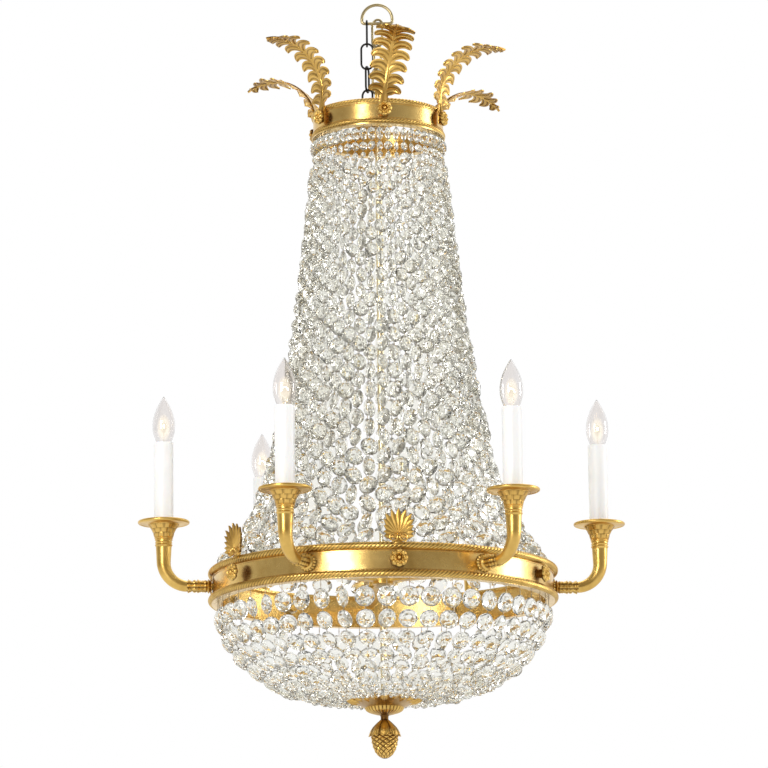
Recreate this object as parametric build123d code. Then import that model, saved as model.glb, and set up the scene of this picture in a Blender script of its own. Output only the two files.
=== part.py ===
"""Crystal basket chandelier with six candle arms, hung from a short pair of chains.

Millimetres, +Z up. The origin is the hang point: the inside top of the hanger ring's eye.
Azimuth is measured from the front (-Y) towards +X; radius is measured from the stem.
"""
from build123d import *
import math
import os

os.makedirs("parts", exist_ok=True)

# ---------------------------------------------------------------- clearances
link_gap = 0.5              # play where one chain link bears on the next
slip_gap = 0.2              # radial play of a pin, post or pipe in its hole
thread_gap = 0.1            # radial play in a screwed joint that turns

# ---------------------------------------------------------------- hanger ring and chains
ring_wire = 4.5
ring_inner_radius = 20.0
ring_side = 4.0             # straight side between the bow and the bar
ring_corner = 4.0           # bend radius of the wire's centre line at the bar
brass_wire = 3.6
brass_link_width = 21.2
black_wire = 3.0
black_link_width = 20.0
link_pitch = 35.8           # drop from one bearing point of the brass chain to the next
black_pitch = 35.0
chain_offset = 15.2         # black chain to the left of the brass chain
hang_slack = 1.4            # extra room where the first link crosses the bar at a slant
chain_levels = 3
brass_twist = (-35.0, 55.0, -35.0)          # plane of each brass link, from the XZ plane
black_twist = (90.0, 0.0, 75.0, -30.0)

# ---------------------------------------------------------------- top loop, stem
loop_wire = 4.5
loop_bore = 15.0            # inner diameter of the loop's eye
loop_twist = 75.0
loop_boss_diameter = 13.0
stem_diameter = 10.0
stem_wall = 1.5
stem_thread_depth = 12.0    # how far the pipe goes up into the loop's boss
nut_flats = 16.0
nut_height = 5.0

# ---------------------------------------------------------------- crown
crown_drop = 34.9           # loop bearing point down to the crown's top
crown_radius = 98.0
crown_height = 38.9
crown_rope = 6.5
crown_wall = 3.0
crown_face_radius = 95.0
crown_flange_inner = 84.0
flange_thickness = 3.0
crown_hub_drop = 8.7        # hub plate below the crown's top edge
crown_hub_radius = 22.0
crown_hub_thickness = 6.0
crown_spokes = 3
crown_spoke_azimuth = 195.0
crown_spoke_width = 10.0
crown_spoke_thickness = 4.0
eye_wire = 3.0
eye_bore = 8.0
rosette_azimuth = 5.0       # first rosette, arms lie half way between rosettes
arm_count = 6

# ---------------------------------------------------------------- crown leaves and rosettes
leaf_length = 158.0
leaf_width = 58.0
leaf_thickness = 2.2
leaf_rib = 2.4              # height of the midrib
leaf_lobes = 9              # lobes on each side
leaf_notch = 0.52           # width between lobes as a share of the width at them
leaf_droop = 7.0            # how far the lobes curl back
leaf_foot_width = 12.0
leaf_foot_height = 16.0
leaf_tips = (               # radius and height above the crown's top of each tip, sideways lean
    (192.0, 78.0, 9.0),
    (205.0, 70.3, 0.0),
    (222.0, 38.0, 0.0),
    (212.0, 50.0, 0.0),
    (214.0, 61.5, 0.0),
    (196.0, 84.2, 0.0),
)
crown_rosette_diameter = 21.0
band_rosette_diameter = 25.0
rosette_thickness = 3.0
rosette_petals = 8
rosette_boss_diameter = 11.0
crown_boss_length = 3.0
stud_diameter = 4.0

# ---------------------------------------------------------------- crystal strands
strand_count = 48
tent_height = 634.3         # crown's bottom down to the band's top
tent_curve = 55.0           # catenary constant of the tent strands
crown_hook_radius = 90.0
band_hook_radius = 236.0
hook_length = 5.0
pin_diameter = 1.6
bead_gap = 5.0
tent_bead_top = 16.5
tent_bead_bottom = 26.0
basket_lead_bead = 12.0
basket_bead_top = 27.0
basket_bead_bottom = 12.0
tent_cuts = (0.64, 0.88)    # shares of a strand's beads at which its next solid starts
basket_cuts = (0.3, 0.6)
strand_groups = 3           # nodes that the strands are shared out to
bead_flatness = 0.5         # thickness over diameter
bead_table = 0.5            # flat facet over diameter
bead_side_gap = 0.8
basket_depth = 137.0        # band's bottom down to the bottom ring's rim

# ---------------------------------------------------------------- main band
band_radius = 250.0
band_height = 48.4
band_rope = 10.0
band_face_radius = 243.0
band_wall = 4.0
band_flange_inner = 231.0
band_flange_set = 2.0       # top flange below the rope's top
band_boss_length = 6.5
spider_set = 9.0            # spider's top below the band's top
spider_hub_radius = 15.0
spider_hub_thickness = 12.0
spider_spokes = 3
spider_spoke_width = 14.0
spider_spoke_thickness = 5.0

# ---------------------------------------------------------------- shells
shell_width = 40.0
shell_height = 44.0
shell_flutes = 13
shell_thickness = 3.0
shell_places = (0, 2, 3, 4, 5)  # rosettes that carry one
shell_foot_width = 11.0

# ---------------------------------------------------------------- arms and lights
arm_reach = 313.0           # radius of the candle's axis
arm_bend = 35.0
collar_length = 35.0
collar_diameter = 16.0
backplate_diameter = 26.0
backplate_thickness = 4.0
spigot_diameter = 10.0
horn_start = 13.0
horn_end = 19.0
arm_top_rise = 65.5         # arm axis up to the top of the arm's rings
pan_rise = 94.1             # arm axis up to the pan's rim
pan_diameter = 74.0
pan_sheet = 2.0
pan_floor_radius = 16.0
pan_floor_drop = 3.4        # pan's floor below its rim
cup_top_diameter = 26.0
post_diameter = 9.6
post_engagement = 12.0
candle_height = 117.0
candle_diameter = 28.5
candle_wall = 1.5
holder_diameter = 22.0
holder_height = 34.0
holder_drop = 14.0          # lampholder's mouth below the candle's top
base_diameter = 11.6        # small screw base
base_length = 18.0
collar_of_base = 13.6
bulb_diameter = 32.4
bulb_visible = 67.0         # bulb above the candle's top
glass_wall = 0.9
bulb_neck_diameter = 12.0

# ---------------------------------------------------------------- bottom
bottom_ring_radius = 56.0
bottom_ring_edge = 3.0
bottom_ring_depth = 12.0
dish_radius = 28.0
dish_foot_radius = 20.0
dish_height = 11.0
neck_diameter = 11.0
finial_drop = 20.0          # finial's top below the ring's rim
finial_height = 63.0
finial_diameter = 46.0
cone_diameter = 38.5
cap_height = 29.0
finial_bore_depth = 16.0

# ---------------------------------------------------------------- heights that follow
z_bar_top = -(ring_inner_radius + ring_side)
z_loop = z_bar_top - chain_levels * link_pitch
z_black = z_bar_top - chain_levels * black_pitch
z_crown_top = z_loop - crown_drop
z_crown_bottom = z_crown_top - crown_height
z_crown_mid = (z_crown_top + z_crown_bottom + flange_thickness) / 2
z_hub_top = z_crown_top - crown_hub_drop
z_band_top = z_crown_bottom - tent_height
z_band_bottom = z_band_top - band_height
z_arm = (z_band_top + z_band_bottom) / 2
z_spider_top = z_band_top - spider_set
z_ring = z_band_bottom - basket_depth
z_pan = z_arm + pan_rise
z_arm_top = z_arm + arm_top_rise
z_pan_floor = z_pan - pan_floor_drop
z_candle_top = z_pan_floor + candle_height
z_holder_top = z_candle_top - holder_drop
z_bulb_tip = z_candle_top + bulb_visible
z_dish_top = z_ring - bottom_ring_depth
z_dish_bottom = z_dish_top - dish_height
z_finial_top = z_ring - finial_drop - 0.5 * bottom_ring_edge
crown_inner_radius = crown_face_radius - crown_wall
band_inner_radius = band_face_radius - band_wall


# ---------------------------------------------------------------- helpers
def save(shapes, node):
    """Write one node; a list becomes a group of separate solids."""
    solids = []
    for shape in shapes if isinstance(shapes, (list, tuple)) else [shapes]:
        solids.extend(shape.solids())
    export_step(solids[0] if len(solids) == 1 else Compound(children=solids), f"parts/{node}.step")


def turned(*faces):
    """Revolve the union of profile faces, drawn with x as radius and y as height."""
    profile = faces[0]
    for face in faces[1:]:
        profile += face
    return revolve(Plane.XZ * profile, Axis.Z)


def block(r_low, r_high, z_low, z_high):
    """Profile rectangle between two radii and two heights."""
    return Pos((r_low + r_high) / 2, (z_low + z_high) / 2) * Rectangle(r_high - r_low, z_high - z_low)


def outline(*points):
    """Profile face with straight sides."""
    return make_face(Polyline(*points, close=True))


def at_azimuth(shape, azimuth):
    """Turn a shape that was built along +X to its azimuth."""
    return Rot(0, 0, azimuth - 90) * shape


def all_round(shape, azimuths):
    """Copies of a shape that was built along +X."""
    return [at_azimuth(shape, azimuth) for azimuth in azimuths]


def rod(start, end, diameter):
    """Round rod between two points."""
    a, b = Vector(*start), Vector(*end)
    length = (b - a).length
    place = Plane(origin=a, z_dir=b - a)
    return place.location * Cylinder(diameter / 2, length, align=(Align.CENTER, Align.CENTER, Align.MIN))


def radial_rod(r_low, r_high, diameter, z):
    """Round rod along +X between two radii."""
    return rod((r_low, 0, z), (r_high, 0, z), diameter)


def tube(outer, inner, z_low, z_high):
    """Upright tube round the Z axis."""
    return turned(block(inner / 2, outer / 2, z_low, z_high))


def hexagon_nut(flats, bore, z_low, height):
    """Upright hexagon nut."""
    face = RegularPolygon(flats / 2, 6, major_radius=False) - Circle(bore / 2)
    return Pos(0, 0, z_low) * extrude(face, height)


rosette_azimuths = [rosette_azimuth + k * 360 / arm_count for k in range(arm_count)]
arm_azimuths = [azimuth + 180 / arm_count for azimuth in rosette_azimuths]


# ---------------------------------------------------------------- hanging gear
def hanger_ring():
    half = ring_inner_radius + ring_wire / 2
    bar = z_bar_top - ring_wire / 2
    side_top = -ring_inner_radius
    c = ring_corner
    k = c * (1 - math.sqrt(0.5))
    path = Wire([
        Line((-half + c, 0, bar), (half - c, 0, bar)),
        ThreePointArc((half - c, 0, bar), (half - k, 0, bar + k), (half, 0, bar + c)),
        Line((half, 0, bar + c), (half, 0, side_top)),
        ThreePointArc((half, 0, side_top), (0, 0, side_top + half), (-half, 0, side_top)),
        Line((-half, 0, side_top), (-half, 0, bar + c)),
        ThreePointArc((-half, 0, bar + c), (-half + k, 0, bar + k), (-half + c, 0, bar)),
    ])
    section = Plane(origin=(0, 0, bar), z_dir=(1, 0, 0)) * Circle(ring_wire / 2)
    return sweep(section, path=path)


def chain_link(wire, width, pitch, z_bearing, x, twist, slack=0.0):
    """Oval link that bears at z_bearing above and one pitch lower."""
    radius = (width - wire) / 2
    top = z_bearing + wire / 2 + link_gap / 2 + slack
    bottom = z_bearing - pitch - wire / 2 - link_gap / 2
    upper, lower = top - radius, bottom + radius
    path = Wire([
        Line((radius, 0, lower), (radius, 0, upper)),
        ThreePointArc((radius, 0, upper), (0, 0, top), (-radius, 0, upper)),
        Line((-radius, 0, upper), (-radius, 0, lower)),
        ThreePointArc((-radius, 0, lower), (0, 0, bottom), (radius, 0, lower)),
    ])
    section = Plane(origin=(radius, 0, lower), z_dir=(0, 0, 1)) * Circle(wire / 2)
    return Pos(x, 0, 0) * Rot(0, 0, twist) * sweep(section, path=path)


def eye_ring(wire, bore, z_top, x, twist):
    """Closed ring whose eye has its inside top at z_top."""
    centre = z_top - bore / 2
    ring = Rot(90, 0, 0) * Torus((bore + wire) / 2, wire / 2)
    return Pos(x, 0, centre) * Rot(0, 0, twist) * ring


def top_loop():
    """Cast loop with a turned boss, screwed on the stem's top."""
    eye = eye_ring(loop_wire, loop_bore, z_loop + link_gap / 2, 0, loop_twist)
    boss_top = z_loop - loop_bore - loop_wire / 2
    r = loop_boss_diameter / 2
    boss = turned(outline(
        (0, boss_top), (0.75 * r, boss_top), (0.75 * r, boss_top - 4), (r, boss_top - 6),
        (r, z_hub_top), (0, z_hub_top)))
    bore = Pos(0, 0, z_hub_top) * Cylinder(
        stem_diameter / 2 + thread_gap, stem_thread_depth,
        align=(Align.CENTER, Align.CENTER, Align.MIN))
    return eye + boss - bore


def stem_pipe():
    top = z_hub_top + stem_thread_depth - 1
    bottom = z_finial_top - finial_bore_depth + 2
    return tube(stem_diameter, stem_diameter - 2 * stem_wall, bottom, top)


# ---------------------------------------------------------------- crown
def crown_band():
    rope = crown_rope / 2
    foot = 2.2
    body = turned(
        block(crown_inner_radius, crown_face_radius, z_crown_bottom, z_crown_top - 0.5 * rope),
        Pos(crown_radius - rope, z_crown_top - rope) * Circle(rope),
        Pos(crown_radius - rope, z_crown_bottom + foot + rope) * Circle(rope),
        block(crown_flange_inner, crown_radius - 1, z_crown_bottom, z_crown_bottom + foot),
        block(crown_flange_inner, crown_face_radius, z_crown_bottom, z_crown_bottom + flange_thickness))
    hole = radial_rod(crown_inner_radius - 2, crown_radius + 2, stud_diameter + 2 * slip_gap, z_crown_mid)
    return body - all_round(hole, rosette_azimuths)


def crown_spider():
    """Hub plate, spokes that end on the crown's wall, and the safety chain's eye."""
    hub = turned(block(0, crown_hub_radius, z_hub_top - crown_hub_thickness, z_hub_top))
    spoke = Pos(crown_inner_radius / 2, 0, z_hub_top - crown_hub_thickness / 2) * Box(
        crown_inner_radius + 4, crown_spoke_width, crown_spoke_thickness)
    azimuths = [crown_spoke_azimuth + k * 360 / crown_spokes for k in range(crown_spokes)]
    spider = hub + all_round(spoke, azimuths)
    spider = spider & Cylinder(crown_inner_radius, 4 * abs(z_hub_top))
    z_eye_top = z_black - black_pitch + link_gap / 2
    eye = eye_ring(eye_wire, eye_bore, z_eye_top, -chain_offset, 75)
    shank_top = z_eye_top - eye_bore - eye_wire / 2
    shank = rod((-chain_offset, 0, z_hub_top - 2), (-chain_offset, 0, shank_top), eye_wire)
    bore = Pos(0, 0, z_hub_top) * Cylinder(stem_diameter / 2 + slip_gap, 3 * crown_hub_thickness)
    return spider + shank + eye - bore


def leaf_course(tip_radius, tip_height):
    """Start angle from upright and bend of an arc of leaf_length that reaches the tip."""
    run = tip_radius - crown_radius
    rise = tip_height
    chord = math.hypot(run, rise)
    low, high = 0.01, 2.6
    for _ in range(50):
        half = (low + high) / 2
        if half / math.sin(half) < leaf_length / chord:
            low = half
        else:
            high = half
    return math.atan2(run, rise) - half, 2 * half


def leaf_section(x, z, angle, width, droop, rib):
    """Shallow V across the leaf, ribbed on its outer side; angle is the course's lean from upright."""
    along = Vector(math.sin(angle), 0, math.cos(angle))
    plane = Plane(origin=(x, 0, z), x_dir=(0, 1, 0), z_dir=along)
    h, t = width / 2, leaf_thickness / 2
    return plane * outline(
        (-h, -droop - t), (0, -t - rib), (h, -droop - t), (h, -droop + t), (0, t), (-h, -droop + t))


def crown_leaf(tip_radius, tip_height, lean):
    """Acanthus leaf: a foot behind the rosette, then an arc with lobes on both sides."""
    start, bend = leaf_course(tip_radius, tip_height)
    radius = leaf_length / bend
    x0 = crown_radius + slip_gap + leaf_thickness / 2
    z0 = z_crown_top + 1
    steps = 2 * leaf_lobes
    sections = []
    for i in range(steps + 1):
        share = i / steps
        angle = start + bend * share
        x = x0 + radius * (math.cos(start) - math.cos(angle))
        z = z0 + radius * (math.sin(angle) - math.sin(start))
        width = leaf_width * (0.30 + 0.70 * math.sin(math.pi * min(1.0, 0.12 + 0.80 * share)) ** 0.8)
        if share > 0.8:
            width *= 1 - 0.8 * (share - 0.8) / 0.2
        if i % 2 == 0:
            width *= leaf_notch
        sections.append(leaf_section(x, z, angle, width, leaf_droop * width / leaf_width, leaf_rib))
    blade = loft(sections, ruled=True)
    if lean:
        pivot = Pos(x0, 0, z0)
        blade = pivot * Rot(-lean, 0, 0) * pivot.inverse() * blade
    foot_low = z_crown_mid - leaf_foot_height / 2
    strap = Pos(x0, 0, (foot_low + z0 + 3) / 2) * Box(leaf_thickness, leaf_foot_width, z0 + 3 - foot_low)
    pad_depth = x0 - crown_face_radius + 2
    pad = Pos(x0 - pad_depth / 2, 0, z_crown_mid) * Box(pad_depth, leaf_foot_width, leaf_foot_height - 6)
    pad = pad - Cylinder(crown_face_radius, 4 * abs(z_crown_bottom))
    hole = radial_rod(crown_face_radius - 3, x0 + 3, stud_diameter + 2 * slip_gap, z_crown_mid)
    return blade + strap + pad - hole


def rosette(diameter, z, r_back, boss_length, stud_start):
    """Petalled disc on a boss, with a stud that goes inwards."""
    petal = 0.34 * diameter / 2
    face = Circle(0.72 * diameter / 2)
    for k in range(rosette_petals):
        face += Rot(0, 0, k * 360 / rosette_petals) * Pos(diameter / 2 - petal, 0) * Circle(petal)
    front = r_back + boss_length
    disc = Plane(origin=(front, 0, z), z_dir=(1, 0, 0)) * extrude(face, rosette_thickness)
    boss = radial_rod(r_back, front + 1, rosette_boss_diameter, z)
    stud = radial_rod(stud_start, r_back + 1, stud_diameter, z)
    dome = Plane(origin=(front + rosette_thickness - 0.5, 0, z), z_dir=(1, 0, 0)).location * Cone(
        0.30 * diameter, 0.14 * diameter, 0.16 * diameter, align=(Align.CENTER, Align.CENTER, Align.MIN))
    return disc + boss + stud + dome


def stud_nut(r_wall, z):
    """Small hexagon nut that bears on the inside of a round wall."""
    flats = 2 * stud_diameter
    place = Plane(origin=(r_wall + 1, 0, z), z_dir=(-1, 0, 0))
    face = RegularPolygon(flats / 2, 6, major_radius=False) - Circle(stud_diameter / 2 + thread_gap)
    nut = place * extrude(face, stud_diameter + 1)
    return nut & Pos(0, 0, z) * Cylinder(r_wall, 4 * flats)


# ---------------------------------------------------------------- crystal strands
def lentil(diameter):
    """Flat octagonal bead: two ruled frustums that meet at the girdle."""
    half = diameter * bead_flatness / 2
    girdle = RegularPolygon(diameter / 2, 8)
    table = RegularPolygon(diameter * bead_table / 2, 8)
    upper = loft([girdle, Pos(0, 0, half) * table], ruled=True)
    lower = loft([girdle, Pos(0, 0, -half) * table], ruled=True)
    return upper + lower


def bead_turn(diameter, radius):
    """Angle that turns a bead about its strand so that it clears its neighbours."""
    space = 2 * math.pi * radius / strand_count
    if diameter + bead_side_gap <= space:
        return 0.0
    return math.asin(min(1.0, 1.15 * diameter * bead_flatness / space))


def bead_places(course, total, sizes, lead):
    """Centre, tangent and size of each bead; course gives a point for a length along the strand."""
    span = sum(sizes) - sizes[0] / 2 - sizes[-1] / 2
    gap = (total - 2 * lead - span) / (len(sizes) - 1)
    s = lead
    places = []
    for i, size in enumerate(sizes):
        if i:
            s += sizes[i - 1] / 2 + gap + size / 2
        a, b = Vector(*course(s - 0.5)), Vector(*course(s + 0.5))
        places.append((Vector(*course(s)), (b - a).normalized(), size))
    return places


def turned_bead(centre, tangent, size):
    """Bead on its place, its face out of the strand's plane by the angle that clears its neighbours."""
    across = Vector(0, 1, 0)
    turn = bead_turn(size, centre.X)
    normal = tangent.cross(across) * math.cos(turn) + across * math.sin(turn)
    return Plane(origin=centre, x_dir=tangent, z_dir=normal).location * lentil(size)


def strand(places, start, end, cuts):
    """Beads and wire pins as solids that meet end to end; cuts are shares of the beads.

    Each solid is short, so that a convex collision hull round it follows the strand's bend.
    """
    centres = [place[0] for place in places]
    marks = [0] + [round(cut * len(places)) for cut in cuts] + [len(places)]
    solids = []
    for first, last in zip(marks, marks[1:]):
        before = [(centres[first - 1] + centres[first]) * 0.5] if first else start
        after = [(centres[last - 1] + centres[last]) * 0.5] if last < len(places) else end
        stops = before + centres[first:last] + after
        pieces = [turned_bead(*place) for place in places[first:last]]
        pieces += [pin(a, b) for a, b in zip(stops, stops[1:])]
        solids.append(pieces[0].fuse(*pieces[1:]))
    return solids


def pin(start, end):
    """Six-sided wire pin between two points."""
    run = end - start
    return extrude(Plane(origin=start, z_dir=run) * RegularPolygon(pin_diameter / 2, 6), run.length)


def tent_course():
    """Catenary from the crown's hook to the band's hook, as a function of length."""
    a = tent_curve
    r_top, r_low = crown_hook_radius, band_hook_radius
    z_top = z_crown_bottom - hook_length
    z_low = z_band_top - band_flange_set + hook_length
    run, drop = r_low - r_top, z_top - z_low
    r_zero = (r_top + r_low) / 2 + a * math.asinh(drop / (2 * a * math.sinh(run / (2 * a))))
    s_top = a * math.sinh((r_zero - r_top) / a)
    total = s_top - a * math.sinh((r_zero - r_low) / a)

    def point(s):
        r = r_zero - a * math.asinh((s_top - s) / a)
        z = z_top - a * (math.cosh((r_zero - r_top) / a) - math.cosh((r_zero - r) / a))
        return (r, 0, z)

    return point, total


def basket_course():
    """Quarter ellipse from the band's lower hook in to the bottom ring's rim."""
    z_top = z_band_bottom - hook_length
    run = band_hook_radius - bottom_ring_radius
    drop = z_top - z_ring
    steps = 400
    table = [0.0]
    for i in range(steps):
        mid = (i + 0.5) / steps * math.pi / 2
        table.append(table[-1] + math.hypot(run * math.sin(mid), drop * math.cos(mid)) * math.pi / 2 / steps)
    total = table[-1]

    def point(s):
        i = min(steps - 1, max(0, sum(1 for value in table if value < s) - 1))
        share = (s - table[i]) / (table[i + 1] - table[i])
        angle = (i + share) / steps * math.pi / 2
        return (bottom_ring_radius + run * math.cos(angle), 0, z_top - drop * math.sin(angle))

    return point, total


def graded(first, last, total, gap):
    """Bead sizes that grade from first to last and fill a length."""
    count = max(2, round(total / ((first + last) / 2 + gap)))
    return [first + (last - first) * i / (count - 1) for i in range(count)]


def tent_strand(odd):
    """Tent strand; every second one starts with a small bead, so that its rows are staggered."""
    course, total = tent_course()
    sizes = graded(tent_bead_top, tent_bead_bottom, total - 10, bead_gap)
    if odd:
        sizes = [0.62 * tent_bead_top] + sizes[:-1] + [0.55 * tent_bead_bottom]
    places = bead_places(course, total, sizes, sizes[0] / 2 + 1.5)
    head = Vector(crown_hook_radius, 0, z_crown_bottom)
    foot = Vector(band_hook_radius, 0, z_band_top - band_flange_set)
    return strand(places, [head, Vector(*course(0))], [Vector(*course(total)), foot], tent_cuts)


def basket_strand():
    """Basket strand; its last pin meets the bottom ring's edge."""
    course, total = basket_course()
    sizes = [basket_lead_bead] + graded(basket_bead_top, basket_bead_bottom, total - 22, bead_gap)
    places = bead_places(course, total, sizes, basket_lead_bead / 2 + 1.5)
    head = Vector(band_hook_radius, 0, z_band_bottom)
    return strand(places, [head, Vector(*course(0))], [Vector(*course(total))], basket_cuts)


# ---------------------------------------------------------------- main band
def main_band():
    rope = band_rope / 2
    centre = band_radius - rope
    body = turned(
        block(band_inner_radius, band_face_radius, z_band_bottom, z_band_top - band_flange_set),
        Pos(centre, z_band_top - rope) * Circle(rope),
        Pos(centre, z_band_bottom + rope) * Circle(rope),
        block(band_flange_inner, band_face_radius,
              z_band_top - band_flange_set - flange_thickness, z_band_top - band_flange_set),
        block(band_flange_inner, centre, z_band_bottom, z_band_bottom + flange_thickness))
    stud_hole = radial_rod(band_inner_radius - 2, band_radius + 2, stud_diameter + 2 * slip_gap, z_arm)
    arm_hole = radial_rod(band_inner_radius - 2, band_radius + 2, spigot_diameter + 2 * slip_gap, z_arm)
    return body - all_round(stud_hole, rosette_azimuths) - all_round(arm_hole, arm_azimuths)


def band_spider():
    """Hub on the stem and flat spokes that end on the band's wall."""
    middle = z_spider_top - spider_hub_thickness / 2
    hub = turned(block(0, spider_hub_radius, z_spider_top - spider_hub_thickness, z_spider_top))
    spoke = Pos(band_inner_radius / 2, 0, middle) * Box(
        band_inner_radius + 6, spider_spoke_width, spider_spoke_thickness)
    azimuths = [rosette_azimuth + (k + 0.5) * 360 / spider_spokes for k in range(spider_spokes)]
    spider = (hub + all_round(spoke, azimuths)) & Cylinder(band_inner_radius, 4 * abs(z_spider_top))
    return spider - Pos(0, 0, z_spider_top) * Cylinder(stem_diameter / 2 + slip_gap, 4 * spider_hub_thickness)


def shell():
    """Fan of flutes on a scroll, with a foot behind the rosette."""
    back = band_radius + slip_gap
    fan_base = z_band_top - 1.0
    reach = shell_height - shell_width / 8
    tip = shell_width / 12
    face = Pos(0, tip) * Circle(2.2 * tip)
    for k in range(shell_flutes):
        side = 2 * k / (shell_flutes - 1) - 1
        angle = 78 * side
        length = reach * (1 - 0.42 * abs(side) ** 1.5) - tip
        flute = outline((-0.25 * tip, 0), (0.25 * tip, 0), (tip, length), (-tip, length))
        flute += Pos(0, length) * Circle(tip)
        face += Pos(0, 2 * tip) * Rot(0, 0, -angle) * flute
    half_box = Pos(0, shell_height / 2) * Rectangle(shell_width, shell_height)
    face = face & half_box
    fan = Plane(origin=(back, 0, fan_base), x_dir=(0, 1, 0), z_dir=(1, 0, 0)) * extrude(face, shell_thickness)
    foot_low = z_arm - rosette_boss_diameter / 2 - 2
    foot_height = fan_base + 4 - foot_low
    foot = Pos(back + shell_thickness / 2, 0, foot_low + foot_height / 2) * Box(
        shell_thickness, shell_foot_width, foot_height)
    pad_depth = back + 1 - band_face_radius + 2
    pad = Pos(back + 1 - pad_depth / 2, 0, z_arm) * Box(pad_depth, shell_foot_width, rosette_boss_diameter)
    pad = pad - Cylinder(band_face_radius, 4 * abs(z_band_bottom))
    hole = radial_rod(band_face_radius - 3, back + 2 * shell_thickness, stud_diameter + 2 * slip_gap, z_arm)
    scroll = Pos(back + shell_thickness, 0, fan_base + 2.2 * tip) * Rot(0, 90, 0) * Cylinder(1.7 * tip, 3.0)
    return fan + foot + pad + scroll - hole


# ---------------------------------------------------------------- arms and lights
def arm_backplate():
    """Gadrooned round plate that bears on the band's face."""
    lobes = 16
    radius = backplate_diameter / 2
    bump = 1.15 * math.pi * (radius - 1.5) / lobes
    face = Circle(radius - 1.5)
    for k in range(lobes):
        face += Rot(0, 0, k * 360 / lobes) * Pos(radius - bump, 0) * Circle(bump)
    face -= Circle(spigot_diameter / 2 + slip_gap)
    depth = backplate_thickness + 2
    plate = Plane(origin=(band_face_radius - 2, 0, z_arm), z_dir=(1, 0, 0)) * extrude(face, depth)
    return plate - Cylinder(band_face_radius, 4 * abs(z_arm))


def arm():
    """Spigot, leafy collar, horn that grows along a quarter bend, and two rings at its top."""
    r_plate = band_face_radius + backplate_thickness
    r_collar = r_plate + collar_length - 10
    bend_start = arm_reach - arm_bend
    turned_profile = outline(
        (0, 0), (spigot_diameter / 2, 0), (spigot_diameter / 2, r_plate - band_inner_radius + 10),
        (0.62 * collar_diameter, r_plate - band_inner_radius + 10),
        (0.5 * collar_diameter, r_plate - band_inner_radius + 14),
        (0.4 * collar_diameter, r_plate - band_inner_radius + 22),
        (0.5 * collar_diameter, r_collar - band_inner_radius + 4),
        (0.5 * collar_diameter, r_collar - band_inner_radius + 6),
        (horn_start / 2, r_collar - band_inner_radius + 7.5),
        (horn_start / 2, bend_start - band_inner_radius + 10),
        (0, bend_start - band_inner_radius + 10))
    base = revolve(Plane.XZ * turned_profile, Axis.Z)
    base = Plane(origin=(band_inner_radius - 10, 0, z_arm), x_dir=(0, 1, 0), z_dir=(1, 0, 0)).location * base
    stations = 7
    sections = []
    for i in range(stations):
        share = i / (stations - 1)
        angle = share * math.pi / 2
        centre = (bend_start + arm_bend * math.sin(angle), 0, z_arm + arm_bend * (1 - math.cos(angle)))
        along = (math.cos(angle), 0, math.sin(angle))
        size = horn_start + (horn_end - 3 - horn_start) * share
        sections.append(Plane(origin=centre, x_dir=(0, 1, 0), z_dir=along) * Circle(size / 2))
    horn = loft(sections)
    z_bend = z_arm + arm_bend
    h = horn_end / 2
    top = turned(outline(
        (0, z_bend), (h - 1.5, z_bend), (h, z_arm_top - 9), (h + 2, z_arm_top - 8.2), (h + 2, z_arm_top - 5.2),
        (h, z_arm_top - 4.6), (h + 1.4, z_arm_top - 3.6), (h + 1.4, z_arm_top - 1), (h, z_arm_top),
        (0, z_arm_top)))
    bore = Pos(0, 0, z_arm_top) * Cylinder(post_diameter / 2 + slip_gap, 2 * post_engagement)
    return base + horn + Pos(arm_reach, 0, 0) * (top - bore)


def arm_nut():
    """Hexagon nut on the spigot, against the inside of the band."""
    face = RegularPolygon(nut_flats / 2, 6, major_radius=False) - Circle(spigot_diameter / 2 + thread_gap)
    place = Plane(origin=(band_inner_radius + 1, 0, z_arm), z_dir=(-1, 0, 0))
    nut = place * extrude(face, nut_height + 1)
    return nut & Pos(0, 0, z_arm) * Cylinder(band_inner_radius, 4 * nut_flats)


def upright(profile):
    """Turn a profile about a candle's axis and set it at the arm's reach."""
    return Pos(arm_reach, 0, 0) * turned(profile)


post_bore = post_diameter / 2 + slip_gap


def candle_cup():
    """Leafy cup between the arm's rings and the pan."""
    top = z_pan_floor - pan_sheet
    rise = top - z_arm_top
    r = cup_top_diameter / 2
    return upright(outline(
        (post_bore, z_arm_top), (0.62 * r, z_arm_top), (0.66 * r, z_arm_top + 0.4 * rise),
        (0.8 * r, z_arm_top + 0.75 * rise), (r, top), (post_bore, top)))


def drip_pan():
    """Flared pan with a rolled rim."""
    rim = 1.6
    edge = pan_diameter / 2 - rim
    low = z_pan_floor - pan_sheet
    high = z_pan_floor
    flare = outline(
        (post_bore, low), (pan_floor_radius, low), (0.7 * edge, z_pan - rim - 1.2), (edge, z_pan - rim),
        (edge, z_pan - rim + 1.2), (0.7 * edge, z_pan - rim + 0.8), (pan_floor_radius, high),
        (post_bore, high))
    return upright(flare + Pos(edge, z_pan - rim) * Circle(rim))


def holder_post():
    """Threaded tube from the arm up through cup and pan into the lampholder."""
    low = z_arm_top - post_engagement + 1
    high = z_holder_top - holder_height + 6
    return upright(block(post_diameter / 2 - 1.5, post_diameter / 2, low, high))


def lampholder():
    """Insulating body with a screwed socket above and the post's thread below."""
    r = holder_diameter / 2
    socket = base_diameter / 2 + slip_gap
    mouth = collar_of_base / 2 + slip_gap
    bottom = z_holder_top - holder_height
    floor = z_holder_top - base_length - 2
    return upright(outline(
        (post_bore, bottom), (0.75 * r, bottom), (0.75 * r, bottom + 8), (r, bottom + 10),
        (r, z_holder_top), (mouth, z_holder_top), (mouth, z_holder_top - 5), (socket, z_holder_top - 5),
        (socket, floor), (0, floor), (0, bottom + 7), (post_bore, bottom + 7)))


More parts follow.
